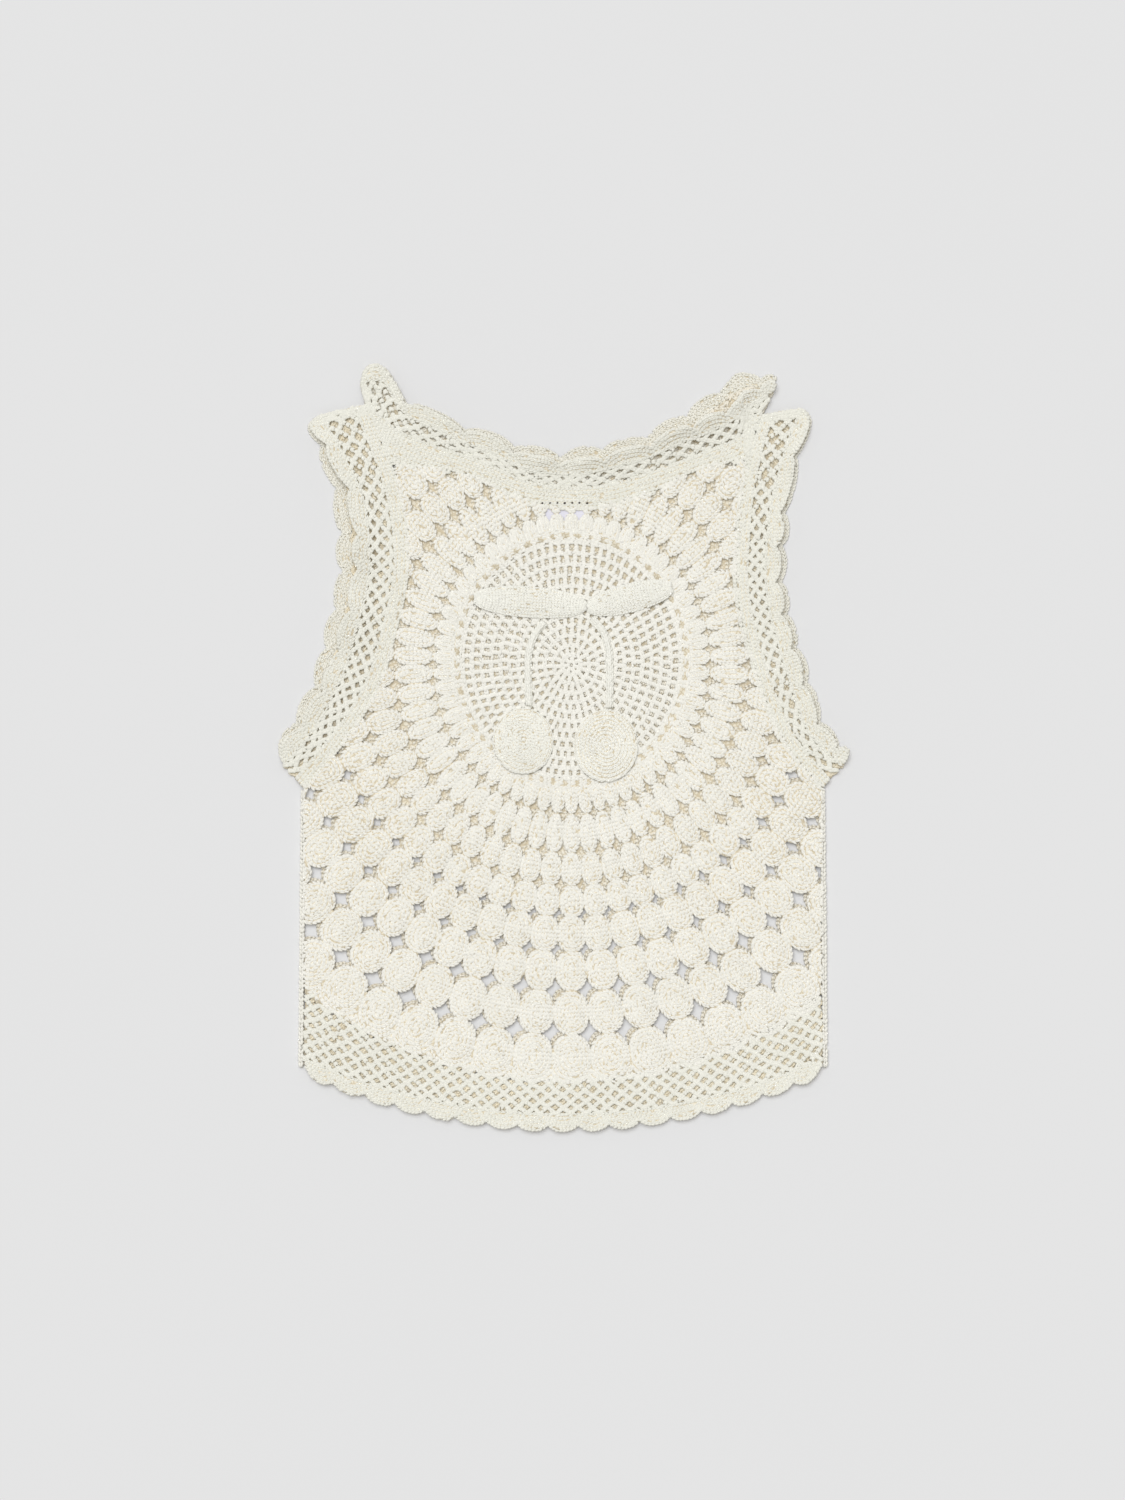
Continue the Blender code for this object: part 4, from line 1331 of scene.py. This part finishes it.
def side_seam(name, hand, looks):
    """The joining row down a side: a braid at the level of each layer."""
    yarn = Yarn(FULL_LOBE, 41)
    y = np.linspace(UNDERARM_Y - 1, HEM_CORNER_Y + 5, 200)
    down = (UNDERARM_Y - y) / (UNDERARM_Y - HEM_CORNER_Y)
    x = hand * (BODY_HALF_WIDTH + SEAM_OUT + (HEM_HALF_WIDTH - BODY_HALF_WIDTH) * down)
    for level in SEAM_LEVELS:
        yarn.braid_path(columns_of(x, y, level), unit(np.array((hand * SEAM_TILT, 0, 1.0))),
                        SEAM_PITCH, SEAM_WIDTH, SEAM_HEIGHT)
    for piece in yarn.piece(name + "_stitches", looks["front"], "motif_yarn"):
        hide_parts(name)


RIBBON_LEVEL, RIBBON_THICK, RIBBON_FOLD, RIBBON_RIPPLE = 0.7, 0.2, 0.12, 0.05
FOLD_FROM, FOLD_OVER = 0.44, 0.02  # where its ends fold up, as shares of its width
DOT_COUNT, DOT_SIZE, DOT_INSET = 7, (2.2, 1.5, 1.0), (1.5, 2.6)
DOT_RISE = 0.9  # of the dark dots along the label's top, which show between the front band's stitches


def label(looks):
    """The blank label: a thin ribbon with folded ends, sewn on along its top, and a row of dark
    dots there.
    """
    across, down = 41, 20
    u, v = (grid.ravel() for grid in np.meshgrid(np.linspace(-0.5, 0.5, across),
                                                 np.linspace(-0.5, 0.5, down)))
    fold = RIBBON_FOLD * np.clip((np.abs(u) - FOLD_FROM) / FOLD_OVER, 0, 1)
    level = LABEL_LOW[2] + RIBBON_LEVEL + fold + RIBBON_RIPPLE * np.sin(u * 9 + v * 4)
    grid = columns_of(LABEL.x + u * LABEL.width, LABEL.y + v * LABEL.height, level)
    made = add_mesh("neck_label_ribbon", *thicken(grid, grid_triangles(down, across),
                                                  RIBBON_THICK), looks["label"], "label_satin")
    # Dark dots along the label's top: small near-black lobes at the front band's height.
    thread = Yarn(FULL_LOBE, 51)
    reach = LABEL.width / 2 - DOT_INSET[0]
    plan = columns_of(LABEL.x + np.linspace(-reach, reach, DOT_COUNT),
                      LABEL.y + LABEL.height / 2 - DOT_INSET[1])
    thread.lobes(laid("front", plan, DOT_RISE), np.array([[1.0, 0.3, 0]]), UP, *DOT_SIZE)
    dot_pieces = thread.piece("neck_label_dots", looks["thread"], "label_satin")
    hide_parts("neck_label")


def main():
    camera_and_light()
    floor()
    looks = {
        "front": yarn_material("cotton_front", (0.925, 0.905, 0.83), (0.885, 0.865, 0.785)),
        # The back, far and net looks are the same cream yarn in painted shade: warmer and more tan,
        # as it looks under the front layer.
        "back": yarn_material("cotton_back_painted_shade", (0.93, 0.885, 0.77), (0.89, 0.84, 0.71)),
        "far": yarn_material("cotton_far_painted_shade", (0.91, 0.89, 0.80), (0.87, 0.85, 0.755)),
        "net": yarn_material("cotton_net_painted_shade", (0.93, 0.85, 0.67), (0.88, 0.79, 0.59)),
        "edging": yarn_material("cotton_edging", (0.885, 0.872, 0.785), (0.845, 0.832, 0.74)),
        "applique": yarn_material("cotton_applique", (0.932, 0.919, 0.842), (0.90, 0.887, 0.806)),
        # The pit look is painted shade, for the shells that show between the stitches.
        "pit": painted_shade_material(),
        "thread": yarn_material("dark_dot_yarn", (0.10, 0.09, 0.08), (0.06, 0.05, 0.05), 0.0),
        "label": satin_material(),
    }
    # The back panel's yarn takes the back look, which is painted shade.
    panel("back", BACK_CENTRE, PLAIN_LOBE, looks)
    panel("front", FRONT_CENTRE, CAP_LOBE, looks)
    for name, spec in {**EDGINGS, "hem_edging": HEM}.items():
        for layer, form in (("back", FULL_LOBE), ("front", CAP_LOBE)):
            edge = HemEdge(layer) if spec is HEM else Edge(spec, layer)
            edging(name, edge, form, looks)
    side_seam("side_seam_left", -1, looks)
    side_seam("side_seam_right", 1, looks)
    for make, specs in ((leaf_piece, LEAVES), (cherry_piece, CHERRIES), (stem_piece, STEMS)):
        for name, spec in specs.items():
            make(name, spec, looks)
    label(looks)


main()
